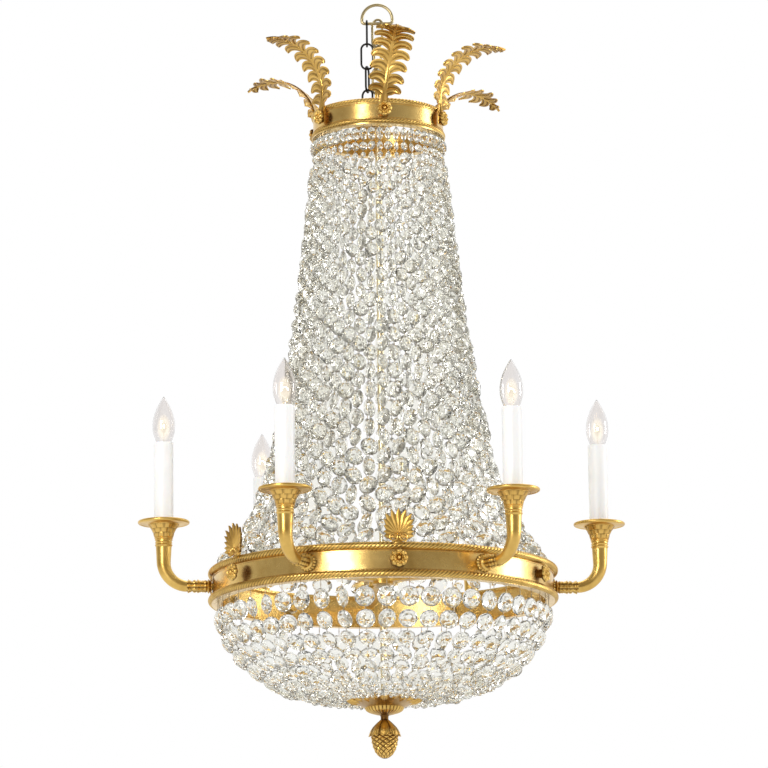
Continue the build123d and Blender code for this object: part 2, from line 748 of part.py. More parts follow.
def candle_sleeve():
    """Open tube with a turned-in top edge."""
    r = candle_diameter / 2
    return upright(outline(
        (r - candle_wall, z_pan_floor), (r, z_pan_floor), (r, z_candle_top - 0.8), (r - 0.8, z_candle_top),
        (r - 2.6, z_candle_top), (r - 2.6, z_candle_top - 1.2), (r - candle_wall, z_candle_top - 1.2)))


def bulb_base():
    """Screw shell with its collar and contact."""
    top = z_holder_top + 1.5
    low = z_holder_top - base_length
    r = base_diameter / 2
    collar = collar_of_base / 2
    neck = bulb_neck_diameter / 2 + thread_gap
    return upright(outline(
        (0, low), (2.2, low), (2.6, low + 1.5), (r - 1.5, low + 3), (r, low + 4.5), (r, z_holder_top - 4.6),
        (collar, z_holder_top - 4), (collar, top), (neck, top), (neck, top - 4), (0, top - 4)))


def bulb_glass():
    """Torpedo bulb, a shell that is open at its neck."""
    neck_low = z_holder_top + 1.5 - 4 + slip_gap
    tall = z_bulb_tip - neck_low
    r = bulb_diameter / 2

    def wall(inset):
        neck = bulb_neck_diameter / 2 - inset
        return Spline(
            (0, z_bulb_tip - inset), (0.62 * r - 0.8 * inset, z_bulb_tip - 0.17 * tall - 0.5 * inset),
            (r - inset, z_bulb_tip - 0.52 * tall), (0.74 * r - inset, z_bulb_tip - 0.78 * tall),
            (neck, neck_low + 6), tangents=((1, -0.25), (0, -1)))

    outer, inner = wall(0), wall(glass_wall)
    neck = bulb_neck_diameter / 2
    edges = [
        outer, Line(outer @ 1, (neck, neck_low)), Line((neck, neck_low), (neck - glass_wall, neck_low)),
        Line((neck - glass_wall, neck_low), inner @ 1), inner, Line(inner @ 0, outer @ 0)]
    return Pos(arm_reach, 0, 0) * revolve(Plane.XZ * make_face(Wire(edges)), Axis.Z)


# ---------------------------------------------------------------- bottom
def bottom_ring():
    """Shallow leaf-edged plate that takes the basket's strands on its edge."""
    r = bottom_ring_radius
    top = z_ring + bottom_ring_edge / 2
    plate = turned(outline(
        (stem_diameter / 2 + slip_gap, top - bottom_ring_depth + 2), (dish_radius, top - bottom_ring_depth + 2),
        (r - 6, top), (r, top), (r, top - bottom_ring_edge), (r - 5, top - bottom_ring_edge),
        (dish_radius + 1, z_dish_top), (stem_diameter / 2 + slip_gap, z_dish_top)))
    return plate


def bottom_dish():
    """Fluted dish under the ring."""
    flutes = 24
    profile = turned(outline(
        (stem_diameter / 2 + slip_gap, z_dish_top), (dish_radius, z_dish_top),
        (dish_radius - 1, z_dish_top - 0.4 * dish_height), (dish_foot_radius, z_dish_top - 0.85 * dish_height),
        (neck_diameter / 2 + 2, z_dish_bottom), (stem_diameter / 2 + slip_gap, z_dish_bottom)))
    groove = rod((dish_radius + 3, 0, z_dish_top), (dish_foot_radius + 1, 0, z_dish_bottom), 3.0)
    return profile - all_round(groove, [k * 360 / flutes for k in range(flutes)])


def finial():
    """Leafy cap over a pinecone, bored for the stem's end."""
    top = z_dish_bottom
    widest = z_finial_top - cap_height
    low = z_finial_top - finial_height
    r, c, n = finial_diameter / 2, cone_diameter / 2, neck_diameter / 2
    edge = widest - 2
    cone_height = edge - low
    cap = Polyline(
        (0, top), (n, top), (n, z_finial_top - 2), (n + 3, z_finial_top - 5), (0.72 * r, z_finial_top - 10),
        (0.9 * r, z_finial_top - 17), (r, widest + 1), (r - 1, widest - 1), (c, edge))
    cone = Spline((c, edge), (0.92 * c, edge - 0.4 * cone_height), (0.55 * c, edge - 0.82 * cone_height),
                  (0, low), tangents=((0, -1), (-1, 0)))
    profile = make_face(Wire([*cap.edges(), cone, Line((0, low), (0, top))]))
    bore = Pos(0, 0, top) * Cylinder(stem_diameter / 2 + thread_gap, 2 * (top - z_finial_top + finial_bore_depth))
    return turned(profile) - bore


def stem_nuts():
    """Nuts under the crown's hub, either side of the band's hub and above the bottom ring."""
    bore = stem_diameter + 2 * thread_gap
    under_crown = z_hub_top - crown_hub_thickness - nut_height
    over_band = z_spider_top
    under_band = z_spider_top - spider_hub_thickness - nut_height
    over_ring = z_ring + bottom_ring_edge / 2 - bottom_ring_depth + 2
    return [hexagon_nut(nut_flats, bore, z, nut_height)
            for z in (under_crown, over_band, under_band, over_ring)]


# ---------------------------------------------------------------- write the nodes
save(hanger_ring(), "hanger_ring")
for level in range(chain_levels):
    save(chain_link(brass_wire, brass_link_width, link_pitch, z_bar_top - level * link_pitch, 0,
                    brass_twist[level % len(brass_twist)], 0.0 if level else hang_slack),
         f"brass_link_{level + 1}")
for level in range(chain_levels + 1):
    save(chain_link(black_wire, black_link_width, black_pitch, z_bar_top - level * black_pitch, -chain_offset,
                    black_twist[level % len(black_twist)]), f"black_link_{level + 1}")
save(top_loop(), "top_loop")
save(stem_pipe(), "stem_pipe")
save(stem_nuts(), "stem_nuts")

save(crown_band(), "crown_band")
save(crown_spider(), "crown_spider")
for index, (tip_radius, tip_height, lean) in enumerate(leaf_tips):
    leaf = crown_leaf(tip_radius, tip_height, lean)
    save(at_azimuth(leaf, rosette_azimuths[index]), f"crown_leaf_{index + 1}")
leaf_front = crown_radius + slip_gap + leaf_thickness
crown_rosette = rosette(crown_rosette_diameter, z_crown_mid, leaf_front, crown_boss_length,
                        crown_inner_radius - 6)
save(all_round(crown_rosette, rosette_azimuths), "crown_rosettes")
save(all_round(stud_nut(crown_inner_radius, z_crown_mid), rosette_azimuths)
     + all_round(stud_nut(band_inner_radius, z_arm), rosette_azimuths), "rosette_nuts")

save(main_band(), "main_band")
save(band_spider(), "band_spider")
shell_front = band_radius + slip_gap + shell_thickness
shelled = [rosette_azimuths[k] for k in shell_places]
bare = [azimuth for k, azimuth in enumerate(rosette_azimuths) if k not in shell_places]
stud_start = band_inner_radius - 6
over_shell = rosette(band_rosette_diameter, z_arm, shell_front, 1.5, stud_start)
on_band = rosette(band_rosette_diameter, z_arm, band_face_radius, band_boss_length, stud_start)
save(all_round(over_shell, shelled) + all_round(on_band, bare), "band_rosettes")
save(all_round(shell(), shelled), "band_shells")

for index, azimuth in enumerate(arm_azimuths):
    save(at_azimuth(arm(), azimuth), f"arm_{index + 1}")
    save(at_azimuth(bulb_glass(), azimuth), f"bulb_glass_{index + 1}")
    save(at_azimuth(bulb_base(), azimuth), f"bulb_base_{index + 1}")
save(all_round(arm_backplate(), arm_azimuths), "arm_backplates")
save(all_round(arm_nut(), arm_azimuths), "arm_nuts")
save(all_round(candle_cup(), arm_azimuths), "candle_cups")
save(all_round(drip_pan(), arm_azimuths), "drip_pans")
save(all_round(holder_post(), arm_azimuths), "holder_posts")
save(all_round(lampholder(), arm_azimuths), "lampholders")
save(all_round(candle_sleeve(), arm_azimuths), "candle_sleeves")

even_strand = tent_strand(False)
odd_strand = tent_strand(True)
low_strand = basket_strand()
for group in range(strand_groups):
    tent = []
    basket = []
    for k in range(strand_count):
        if k * strand_groups // strand_count == group:
            azimuth = rosette_azimuth + (k + 0.5) * 360 / strand_count
            tent += [at_azimuth(piece, azimuth) for piece in (odd_strand if k % 2 else even_strand)]
            basket += [at_azimuth(piece, azimuth) for piece in low_strand]
    save(tent, f"tent_strands_{group + 1}")
    save(basket, f"basket_strands_{group + 1}")

save(bottom_ring(), "bottom_ring")
save(bottom_dish(), "bottom_dish")
save(finial(), "finial")
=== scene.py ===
import math

import bmesh
import bpy
import numpy as np
from mathutils import Matrix, Vector


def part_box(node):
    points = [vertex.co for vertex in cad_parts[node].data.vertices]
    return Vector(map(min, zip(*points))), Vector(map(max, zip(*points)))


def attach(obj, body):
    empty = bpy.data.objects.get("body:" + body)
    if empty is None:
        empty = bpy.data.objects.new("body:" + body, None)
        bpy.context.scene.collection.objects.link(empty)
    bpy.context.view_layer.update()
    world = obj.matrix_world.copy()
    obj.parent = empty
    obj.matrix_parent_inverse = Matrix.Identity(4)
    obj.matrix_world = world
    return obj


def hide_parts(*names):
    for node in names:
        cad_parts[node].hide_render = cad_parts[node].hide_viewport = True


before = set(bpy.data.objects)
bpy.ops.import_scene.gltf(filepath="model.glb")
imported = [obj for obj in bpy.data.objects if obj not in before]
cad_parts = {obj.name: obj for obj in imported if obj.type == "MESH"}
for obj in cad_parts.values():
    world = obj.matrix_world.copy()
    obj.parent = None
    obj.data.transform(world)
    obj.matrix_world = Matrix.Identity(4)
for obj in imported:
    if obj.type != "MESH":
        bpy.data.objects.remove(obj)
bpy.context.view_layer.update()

rng = np.random.default_rng(7)
MM = 0.001

# ---- sizes from the frame
crown_low, crown_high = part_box("crown_band")
band_low, band_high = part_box("main_band")
ring_low, ring_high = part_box("bottom_ring")
dish_low, dish_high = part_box("bottom_dish")
finial_low, finial_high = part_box("finial")
pan_low, pan_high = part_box("drip_pans")
cup_low, cup_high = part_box("candle_cups")
sleeve_low, sleeve_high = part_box("candle_sleeves")
bulb_low, bulb_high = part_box("bulb_glass_1")
crown_radius = crown_high.x
band_radius = band_high.x
z_crown_top, z_crown_bottom = crown_high.z, crown_low.z
z_band_top, z_band_bottom = band_high.z, band_low.z
z_arm = (z_band_top + z_band_bottom) / 2
ring_edge = 3 * MM
z_ring = ring_high.z - ring_edge / 2
flange = 3 * MM
z_crown_mid = (z_crown_top + z_crown_bottom + flange) / 2

# ---- sizes of the design
arm_count = 6
rosette_azimuths = [5 + 60 * k for k in range(arm_count)]
arm_azimuths = [azimuth + 30 for azimuth in rosette_azimuths]
bare_place = 1
shell_azimuths = [azimuth for k, azimuth in enumerate(rosette_azimuths) if k != bare_place]
arm_reach = 313 * MM
arm_rise = 65.5 * MM
post_bore = 4.9 * MM
stem_bore = 5.2 * MM
stand_off = 0.2 * MM
dish_gap = 0.1 * MM
strand_count = 48
strand_azimuths = [5 + (k + 0.5) * 360 / strand_count for k in range(strand_count)]
strand_groups = 3
tent_curve = 55 * MM
crown_hook_radius = 90 * MM
band_hook_radius = 236 * MM
hook_length = 5 * MM
crown_face_radius = 95 * MM
band_face_radius = 243 * MM
crown_rope = 6.5 * MM
band_rope = 10 * MM


# ---- mesh helpers
def circle(sides):
    """Angles of one whole turn."""
    return np.linspace(0, 2 * np.pi, sides, endpoint=False)


def shares(count):
    """Even steps from 0 to 1."""
    return np.linspace(0, 1, count)


def points_of(x, y, z):
    """Points out of three coordinates that spread over one another."""
    return np.stack(np.broadcast_arrays(x, y, z), -1)


def round_z(radius, turn, z):
    """Points round the Z axis."""
    return points_of(radius * np.cos(turn), radius * np.sin(turn), z)


def round_x(x, radius, turn, z):
    """Points round a level axis that runs along +X at height z."""
    return points_of(x, radius * np.cos(turn), z + radius * np.sin(turn))


def held(value):
    """Value held between 0 and 1."""
    return np.clip(value, 0, 1)


def ripple(angle):
    """Crests of height 1, one for each half turn."""
    return np.abs(np.cos(angle))


def bell(value, centre, spread):
    """Smooth bump of height 1."""
    return np.exp(-((value - centre) / spread) ** 2)


def directions(path):
    """Unit tangent at each point of a path."""
    tangent = np.gradient(path, axis=0)
    return tangent / np.linalg.norm(tangent, axis=1)[:, None]


def summed(steps):
    """Running sum that starts at 0."""
    return np.concatenate([[0], np.cumsum(steps)])


class Shape:
    """Points, faces and a darkening value for each point: 0 is proud metal, 1 is a recess painted dark, as
    aged colour and painted shade.
    """

    def __init__(self):
        self.points, self.faces, self.hollow, self.count = [], [], [], 0

    def add(self, points, faces, hollow=0.0):
        points = np.asarray(points, float).reshape(-1, 3)
        self.points.append(points)
        self.hollow.append(np.broadcast_to(np.asarray(hollow, float).ravel(), (len(points),)))
        self.faces.extend(tuple(i + self.count for i in face) for face in faces)
        self.count += len(points)
        return self

    def grid(self, points, wrap_rows=False, hollow=0.0):
        """Quads over rings of points, whose last ring may join the first."""
        rows, columns = points.shape[:2]
        faces = []
        for i in range(rows if wrap_rows else rows - 1):
            a, b = i * columns, ((i + 1) % rows) * columns
            for j in range(columns):
                k = (j + 1) % columns
                faces.append((a + j, b + j, b + k, a + k))
        return self.add(points, faces, np.broadcast_to(hollow, (rows, columns)))

    def cap(self, start, sides, way=1):
        """Face over a ring of points; way is -1 to run it backwards."""
        self.faces.append(tuple(range(start, start + sides))[::way])
        return self

    def slab(self, front, back, hollow=0.0):
        """Closed plate between two grids of points."""
        rows, columns = front.shape[:2]
        size = rows * columns
        place = np.arange(size).reshape(rows, columns)
        corners = (place[:-1, :-1], place[1:, :-1], place[1:, 1:], place[:-1, 1:])
        faces = []
        for a, b, c, d in zip(*(corner.ravel().tolist() for corner in corners)):
            faces += [(a, b, c, d), (a + size, d + size, c + size, b + size)]
        rim = np.concatenate([place[0], place[1:, -1], place[-1, -2::-1], place[-2:0:-1, 0]]).tolist()
        faces += [(p, q, q + size, p + size) for p, q in zip(rim, rim[1:] + rim[:1])]
        hollow = np.broadcast_to(hollow, (rows, columns))
        return self.add(np.stack([front, back]), faces, np.stack([hollow, hollow]))

    def lathe(self, profile, segments, relief=None, hollow=0.0):
        """Turn a closed list of (radius, height) about Z; relief adds to the radius and sets how dark each
        point is painted.
        """
        turn = circle(segments)
        radius, height = (column[:, None] + 0 * turn for column in np.asarray(profile, float).T)
        if relief:
            rise, hollow = relief(turn, radius, height)
            radius = radius + rise
        return self.grid(round_z(radius, turn, height), True, hollow)

    def tube(self, path, radius, sides, hollow=0.0):
        """Round capped tube along a path, with one radius or one for each point."""
        path = np.asarray(path, float)
        tangent = directions(path)
        turn = circle(sides)[:, None]
        side = np.cross(tangent[0], (0.0, 0.0, 1.0))
        if np.linalg.norm(side) < 0.2:
            side = np.cross(tangent[0], (0.0, 1.0, 0.0))
        rings = []
        for point, t, r in zip(path, tangent, np.broadcast_to(radius, (len(path),))):
            side = side - t * np.dot(side, t)
            side /= np.linalg.norm(side)
            rings.append(point + r * (np.cos(turn) * side + np.sin(turn) * np.cross(t, side)))
        return self.pipe(np.array(rings), hollow)

    def pipe(self, points, hollow=0.0, way=1):
        """Rings of points with a cap at each end."""
        start, sides = self.count, points.shape[1]
        self.grid(points, hollow=hollow).cap(start, sides, way)
        return self.cap(self.count - sides, sides, -way)

    def ball(self, centre, size, rings=6, sides=10):
        """Ellipsoid with three radii."""
        up = np.linspace(0.04, np.pi - 0.04, rings + 1)[:, None]
        points = round_z(np.sin(up), circle(sides), np.cos(up))
        return self.pipe(np.asarray(centre) + points * np.asarray(size), way=-1)

    def copy_of(self, other, matrix):
        """Add another shape, moved by a 4 x 4 matrix."""
        points = np.concatenate(other.points)
        matrix = np.asarray(matrix, float)
        self.add(points @ matrix[:3, :3].T + matrix[:3, 3], other.faces, np.concatenate(other.hollow))


def strap(shape, front, back, half_width, low, high, counts, bulge, hollow):
    """Add a flat upright strip whose front bulges along its middle."""
    rows, columns = counts
    y = np.linspace(-half_width, half_width, columns)
    z = np.linspace(low, high, rows)[:, None]
    curve = bulge * (1 - (y / half_width) ** 2)
    shape.slab(points_of(front + curve, y, z), points_of(back, y, z), hollow)


def piece(name, shape, material, body, slot, *nodes, smooth=35.0):
    """Make the object, let it ride on its body and stand for its CAD nodes."""
    mesh = bpy.data.meshes.new(name)
    mesh.from_pydata(np.concatenate(shape.points).tolist(), [], shape.faces)
    mesh.validate()
    # How dark each point is painted: aged colour with painted shade in the recesses.
    layer = mesh.attributes.new("hollow", "FLOAT", "POINT")
    layer.data.foreach_set("value", np.concatenate(shape.hollow).astype(np.float32))
    mesh.materials.append(material)
    face_outwards(mesh)
    if smooth:
        mesh.polygons.foreach_set("use_smooth", [True] * len(mesh.polygons))
        mesh.set_sharp_from_angle(angle=math.radians(smooth))
    obj = bpy.data.objects.new(name, mesh)
    bpy.context.scene.collection.objects.link(obj)
    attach(obj, body)
    if nodes:
        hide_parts(*nodes)
    return obj


def gilded(name, shape, material, node, smooth):
    """Gilded piece of the fixture that stands for a CAD node."""
    piece(name, shape, material, "fixture", "gilt", node, smooth=smooth)


def face_outwards(mesh):
    """Make every face's normal point out of its solid."""
    work = bmesh.new()
    work.from_mesh(mesh)
    bmesh.ops.recalc_face_normals(work, faces=work.faces)
    work.to_mesh(mesh)
    work.free()


def at(azimuth):
    """Matrix that turns a shape built along +X to its azimuth."""
    return Matrix.Rotation(math.radians(azimuth - 90), 4, "Z")


def moved(shape, *matrices):
    """A copy of the shape for each 4 x 4 matrix."""
    result = Shape()
    for matrix in matrices:
        result.copy_of(shape, matrix)
    return result


def all_round(shape, azimuths):
    """Copies of a shape at several azimuths."""
    return moved(shape, *map(at, azimuths))


# ---- materials
class Tree:
    """Shader nodes of a new material, or of the world."""

    def __init__(self, owner):
        self.owner = bpy.data.materials.new(owner) if isinstance(owner, str) else owner
        self.owner.use_nodes = True
        self.nodes, self.links = self.owner.node_tree.nodes, self.owner.node_tree.links

    def feed(self, node, inputs):
        """Give each input a value, a colour or another node's output."""
        for name, value in inputs.items():
            socket = node.inputs[name]
            if isinstance(value, bpy.types.NodeSocket):
                self.links.new(value, socket)
            else:
                socket.default_value = (*value, 1) if socket.type == "RGBA" else value

    def new(self, kind, inputs, output=0, **settings):
        """Output of a new node."""
        node = self.nodes.new("ShaderNode" + kind)
        for name, value in settings.items():
            setattr(node, name, value)
        self.feed(node, inputs)
        return node.outputs[output] if node.outputs else None

    def noise(self, scale, detail, stretch=None):
        """Noise in object space, stretched if asked."""
        place = self.new("TexCoord", {}, "Object")
        if stretch:
            place = self.new("Mapping", {"Scale": stretch, "Vector": place})
        return self.new("TexNoise", {"Scale": scale, "Detail": detail, "Vector": place}, "Fac")

    def ramp(self, value, *stops):
        """Colour ramp with (position, colour) stops."""
        output = self.new("ValToRGB", {"Fac": value}, "Color")
        elements = output.node.color_ramp.elements
        while len(elements) < len(stops):
            elements.new(0.5)
        for element, (position, colour) in zip(elements, stops):
            element.position = position
            element.color = (*colour, 1)
        return output

    def drift(self, scale, detail, low, first, high, second):
        """Colour that drifts between two tones."""
        return self.ramp(self.noise(scale, detail), (low, first), (high, second))

    def blend(self, factor, a, b):
        """Mix of two colours; a Mix node keeps its colour sockets at places 6, 7 and 2."""
        return self.new("Mix", {0: factor, 6: a, 7: b}, 2, data_type="RGBA")

    def ranged(self, value, low, high, start=0.0, end=1.0):
        """Value between start and end, spread from low to high."""
        return self.new("MapRange", {"Value": value, "From Min": start, "From Max": end,
                                     "To Min": low, "To Max": high})

    def bump(self, height, strength, distance):
        return self.new("Bump", {"Height": height, "Strength": strength, "Distance": distance})

    def mix(self, factor, a, b):
        return self.new("MixShader", {0: factor, 1: a, 2: b})

    def surface(self, inputs):
        """Feed the material's main shader and give its output."""
        shader = self.nodes["Principled BSDF"]
        self.feed(shader, inputs)
        return shader.outputs[0]

    def show(self, shader):
        """Put another shader on the surface."""
        self.feed(self.nodes["Material Output"], {"Surface": shader})


def metal(name, bright, dull, patina_and_shade_tone, rough, brush=None, grain=900.0, bump=0.08):
    """Metal whose colour drifts between two tones and is painted darker in its recesses, as aged colour and
    painted shade.
    """
    tree = Tree(name)
    tone = tree.drift(38.0, 4.0, 0.32, dull, 0.62, bright)
    hollow = tree.new("Attribute", {}, "Fac", attribute_name="hollow")
    # Random dark spots of aged colour, plus the painted shade and aged colour of the recesses.
    patina_and_shade_mix = tree.new("Math", {0: tree.noise(160.0, 4.0), 1: 0.35, 2: hollow}, operation="MULTIPLY_ADD")
    amount = tree.ramp(patina_and_shade_mix, (0.22, (0, 0, 0)), (1.0, (1, 1, 1)))
    tree.surface({"Base Color": tree.blend(amount, tone, patina_and_shade_tone), "Metallic": 1.0,
                  "Roughness": tree.ranged(tree.noise(90.0, 5.0), rough - 0.07, rough + 0.1),
                  "Normal": tree.bump(tree.noise(grain, 2.0, brush), bump, 0.0004)})
    return tree.owner


gold_bright = (0.78, 0.52, 0.15)
gold_dull = (0.58, 0.36, 0.09)
# Dark brown of aged gilt, also used as painted shade in the recesses.
gold_patina_and_shade = (0.10, 0.035, 0.008)
gilt = metal("gilt_satin", gold_bright, gold_dull, gold_patina_and_shade, 0.30)
gilt_wall = metal("gilt_wall", (0.82, 0.58, 0.21), (0.66, 0.43, 0.13), gold_patina_and_shade, 0.24, (0.5, 0.5, 7.0),
                  90.0, 0.10)
gilt_leaf = metal("gilt_leaf", (0.78, 0.50, 0.14), (0.55, 0.33, 0.08), (0.10, 0.038, 0.01), 0.31, bump=0.22)
stem_brass = metal("stem_brass", (0.84, 0.74, 0.50), (0.74, 0.62, 0.38), gold_patina_and_shade, 0.26, bump=0.04)
chain_brass = metal("aged_brass", (0.55, 0.46, 0.26), (0.40, 0.32, 0.17), (0.06, 0.04, 0.02), 0.30)
chain_black = metal("black_wire", (0.035,) * 3, (0.02,) * 3, (0.01,) * 3, 0.34)
pin_metal = metal("pin_wire", (0.50, 0.42, 0.30), (0.32, 0.26, 0.18), (0.08, 0.05, 0.03), 0.35)
steel = metal("turned_steel", (0.62, 0.56, 0.44), (0.50, 0.45, 0.36), (0.10, 0.08, 0.06), 0.33)


def glass(name, tint, other_tint, rough, index, see_through=0.85):
    """Clear glass; its shadow stays pale, as light that passes it lands nearby."""
    tree = Tree(name)
    shader = tree.surface({"Base Color": tree.drift(22.0, 2.0, 0.35, tint, 0.65, other_tint),
                           "Roughness": rough, "IOR": index, "Transmission Weight": 1.0})
    clear = tree.new("BsdfTransparent", {"Color": (see_through,) * 3})
    tree.show(tree.mix(tree.new("LightPath", {}, "Is Shadow Ray"), shader, clear))
    return tree.owner


crystal = glass("cut_crystal", (0.925, 0.91, 0.845), (0.91, 0.915, 0.88), 0.01, 1.53)
bulb_glass = glass("bulb_glass", (0.92, 0.89, 0.87), (0.90, 0.885, 0.88), 0.05, 1.45, 0.92)


def candle_white():
    """Waxy white with faint upright streaks."""
    tree = Tree("candle_white")
    relief = tree.noise(60.0, 3.0, (1.0, 1.0, 0.25))
    tree.surface({"Base Color": tree.drift(30.0, 3.0, 0.3, (0.93, 0.925, 0.90), 0.7, (0.97, 0.965, 0.95)),
                  "Roughness": 0.42, "Subsurface Weight": 0.25, "Subsurface Radius": (0.006, 0.005, 0.004),
                  "Normal": tree.bump(relief, 0.15, 0.0006)})
    return tree.owner


def holder_plastic():
    """Pale plastic of the lampholders."""
    tree = Tree("holder_plastic")
    tree.surface({"Base Color": tree.drift(80.0, 3.0, 0.3, (0.74, 0.70, 0.62), 0.7, (0.82, 0.79, 0.72)),
                  "Roughness": 0.5})
    return tree.owner


def glowing(name, colour, strength):
    """Tone that gives its own light."""
    tree = Tree(name)
    tone = tree.drift(400.0, 2.0, 0.3, colour, 0.7, [0.9 * c for c in colour])
    tree.surface({"Base Color": tone, "Emission Color": tone, "Emission Strength": strength})
    return tree.owner


def light_halo():
    """Light that hangs round a filament, a little of it on each surface."""
    tree = Tree("warm_halo")
    tone = tree.drift(50.0, 1.0, 0.3, (1.0, 0.93, 0.78), 0.7, (1.0, 0.91, 0.74))
    glow = tree.new("Emission", {"Strength": 1.4, "Color": tone})
    tree.show(tree.mix(0.13, tree.new("BsdfTransparent", {}), glow))
    return tree.owner


sleeve_white = candle_white()
warm_halo = light_halo()
holder_body = holder_plastic()
filament_glow = glowing("filament_glow", (1.0, 0.72, 0.38), 22.0)


# ---- bands
def rope(radius, heights, wire, pitch, depth):
    """Twisted mouldings round the axis: helical grooves, one every pitch of length."""
    strands = max(3, round(2 * math.pi * wire / pitch))
    turns = round(round(2 * math.pi * radius / pitch) / strands)
    along = circle(turns * strands * 7)[:, None]
    section = circle(20)
    ridge = ripple(strands * section / 2 - turns * strands * along / 2)
    size = wire * (1 - depth * (1 - ridge) ** 1.4)
    # Grooves between the rope's strands are painted dark: painted shade, with aged colour.
    hollow = held((0.52 - ridge) * 2.4)
    shape = Shape()
    for z in heights:
        shape.grid(round_z(radius + size * np.cos(section), along, z + size * np.sin(section)), True, hollow)
    return shape


def step_line(radius, z, height, proud):
    """Small raised line on a wall, as three profile points going down."""
    return [(radius, z + height), (radius + proud, z + 0.7 * height), (radius + proud, z - 0.7 * height),
            (radius, z - height)]


def wall_and_ropes(name, node, profile, segments, ropes):
    """Wall of a band, turned from its profile, with a rope moulding along each edge."""
    gilded(f"{name}_wall", Shape().lathe(profile, segments), gilt_wall, node, 30)
    gilded(f"{name}_ropes", ropes, gilt, node, 60)


def crown():
    """Crown band: a stepped wall on a foot, with a hook flange inside."""
    wire, foot = crown_rope / 2, 2.2 * MM
    face, inner, flange_edge = crown_face_radius, crown_face_radius - 3 * MM, 84 * MM
    lip, edge = face + MM, crown_radius - MM
    under_rope, on_foot = z_crown_top - 2 * wire, z_crown_bottom + foot
    inside = z_crown_bottom + flange
    line = (0.7 * MM, 0.8 * MM)
    profile = [(inner, z_crown_top - wire), (lip, z_crown_top - wire), (lip, under_rope),
               *step_line(face, under_rope - 1.8 * MM, *line),
               *step_line(face, on_foot + 2 * wire + 1.8 * MM, *line),
               (face, on_foot), (edge, on_foot), (edge, z_crown_bottom), (flange_edge, z_crown_bottom),
               (flange_edge, inside), (inner, inside)]
    heights = (z_crown_top - wire, on_foot + wire)
    ropes = rope(crown_radius - wire, heights, wire, 5.2 * MM, 0.42)
    wall_and_ropes("crown", "crown_band", profile, 256, ropes)


def main_band():
    """Main band: a stepped wall between two hook flanges."""
    wire = band_rope / 2
    face, inner, centre = band_face_radius, band_face_radius - 4 * MM, band_radius - wire
    lip, flange_edge = face + MM, 231 * MM
    top, bottom_rope = z_band_top - 2 * MM, z_band_bottom + wire
    under_rope, over_rope = z_band_top - 2 * wire, z_band_bottom + 2 * wire
    line = (0.9 * MM, 0.9 * MM)
    profile = [(flange_edge, top - flange), (flange_edge, top), (lip, top), (lip, under_rope),
               *step_line(face, under_rope - 1.6 * MM, *line),
               *step_line(face, over_rope + 1.6 * MM, *line),
               (face, over_rope - MM), (face, bottom_rope), (centre, bottom_rope),
               (centre, z_band_bottom), (flange_edge, z_band_bottom), (flange_edge, z_band_bottom + flange),
               (inner, z_band_bottom + flange), (inner, top - flange)]
    ropes = rope(centre, (z_band_top - wire, bottom_rope), wire, 5.8 * MM, 0.34)
    wall_and_ropes("band", "main_band", profile, 384, ropes)


# ---- rosettes
def rosette(diameter, z, back, boss_length):
    """Flower of eight petals round eight smaller ones and a button, on a boss."""
    petals, rings, sides = 8, 30, 160
    share = np.linspace(0.0, 1.0, rings)[:, None]
    turn = circle(sides)
    wave = ripple(petals * turn / 2)
    inner_wave = np.abs(np.sin(petals * turn / 2))
    edge = 0.5 * diameter * (0.88 + 0.12 * wave ** 0.6)
    outer = bell(share, 0.77, 0.18) * wave ** 0.45
    middle = bell(share, 0.42, 0.12) * inner_wave ** 0.45
    button = held(1 - (share / 0.24) ** 2) ** 0.5
    rise = 2.7 * MM * outer + 3.0 * MM * middle + 3.8 * MM * button + 0.6 * MM
    rise = rise * np.clip((1 - share) * 14, 0.15, 1)
    # Dips between the petals are painted dark: painted shade, with aged colour.
    hollow = held(0.45 - (outer + middle + button))
    boss_front = back + boss_length
    points = round_x(boss_front + 1.8 * MM + rise, edge * np.maximum(share, 0.02), turn, z)
    shape = Shape().grid(points[::-1], hollow=hollow[::-1]).cap((rings - 1) * sides, sides)
    radius = np.stack(np.broadcast_arrays(edge * 0.97, 0.27 * diameter, 0.25 * diameter))
    rim = round_x(np.array([[boss_front], [boss_front], [back]]), radius, turn, z)
    # The boss's side under the flower is painted dark: painted shade under it.
    shape.grid(np.concatenate([points[-1:], rim]), hollow=0.7)
    return shape.cap(shape.count - sides, sides, -1)


def rosettes():
    """Small flowers in front of the crown's leaves, large ones on the band, and one on the bare wall."""
    small = rosette(22.5 * MM, z_crown_mid, leaf_back + leaf_thickness, 3 * MM)
    large = rosette(25 * MM, z_arm, band_radius + 3.2 * MM, 1.5 * MM)
    plain = rosette(25 * MM, z_arm, band_face_radius, 6.5 * MM)
    flowers = all_round(large, shell_azimuths)
    flowers.copy_of(plain, at(rosette_azimuths[bare_place]))
    for name, shape, node in (
            ("crown_rosette_flowers", all_round(small, rosette_azimuths), "crown_rosettes"),
            ("band_rosette_flowers", flowers, "band_rosettes")):
        gilded(name, shape, gilt, node, 50)


# ---- crown leaves
leaf_back = crown_radius + stand_off
leaf_thickness = 2.2 * MM
leaf_length = 158 * MM
leaf_half_width = 33 * MM
leaf_lobes = 9
# Radius and height of each tip in mm, and its lean in degrees.
leaf_tips = (
    (192, 78, 9), (205, 70.3, 0), (222, 38, 0), (212, 50, 0), (214, 61.5, 0), (196, 84.2, 0),
)


def leaf_course(tip_radius, tip_height):
    """Start angle from upright and bend of an arc of leaf_length that reaches the tip."""
    run, rise = tip_radius - crown_radius, tip_height
    chord = math.hypot(run, rise)
    low, high = 0.01, 2.6
    for _ in range(50):
        half = (low + high) / 2
        if half / math.sin(half) < leaf_length / chord:
            low = half
        else:
            high = half
    return math.atan2(run, rise) - half, 2 * half


def leaf_envelope(share):
    """Half width of the leaf at a share of its length."""
    width = 0.80 + 0.20 * np.sin(np.pi * held(share / 1.25))
    return leaf_half_width * width * (1 - 0.62 * held((share - 0.74) / 0.26) ** 1.3)


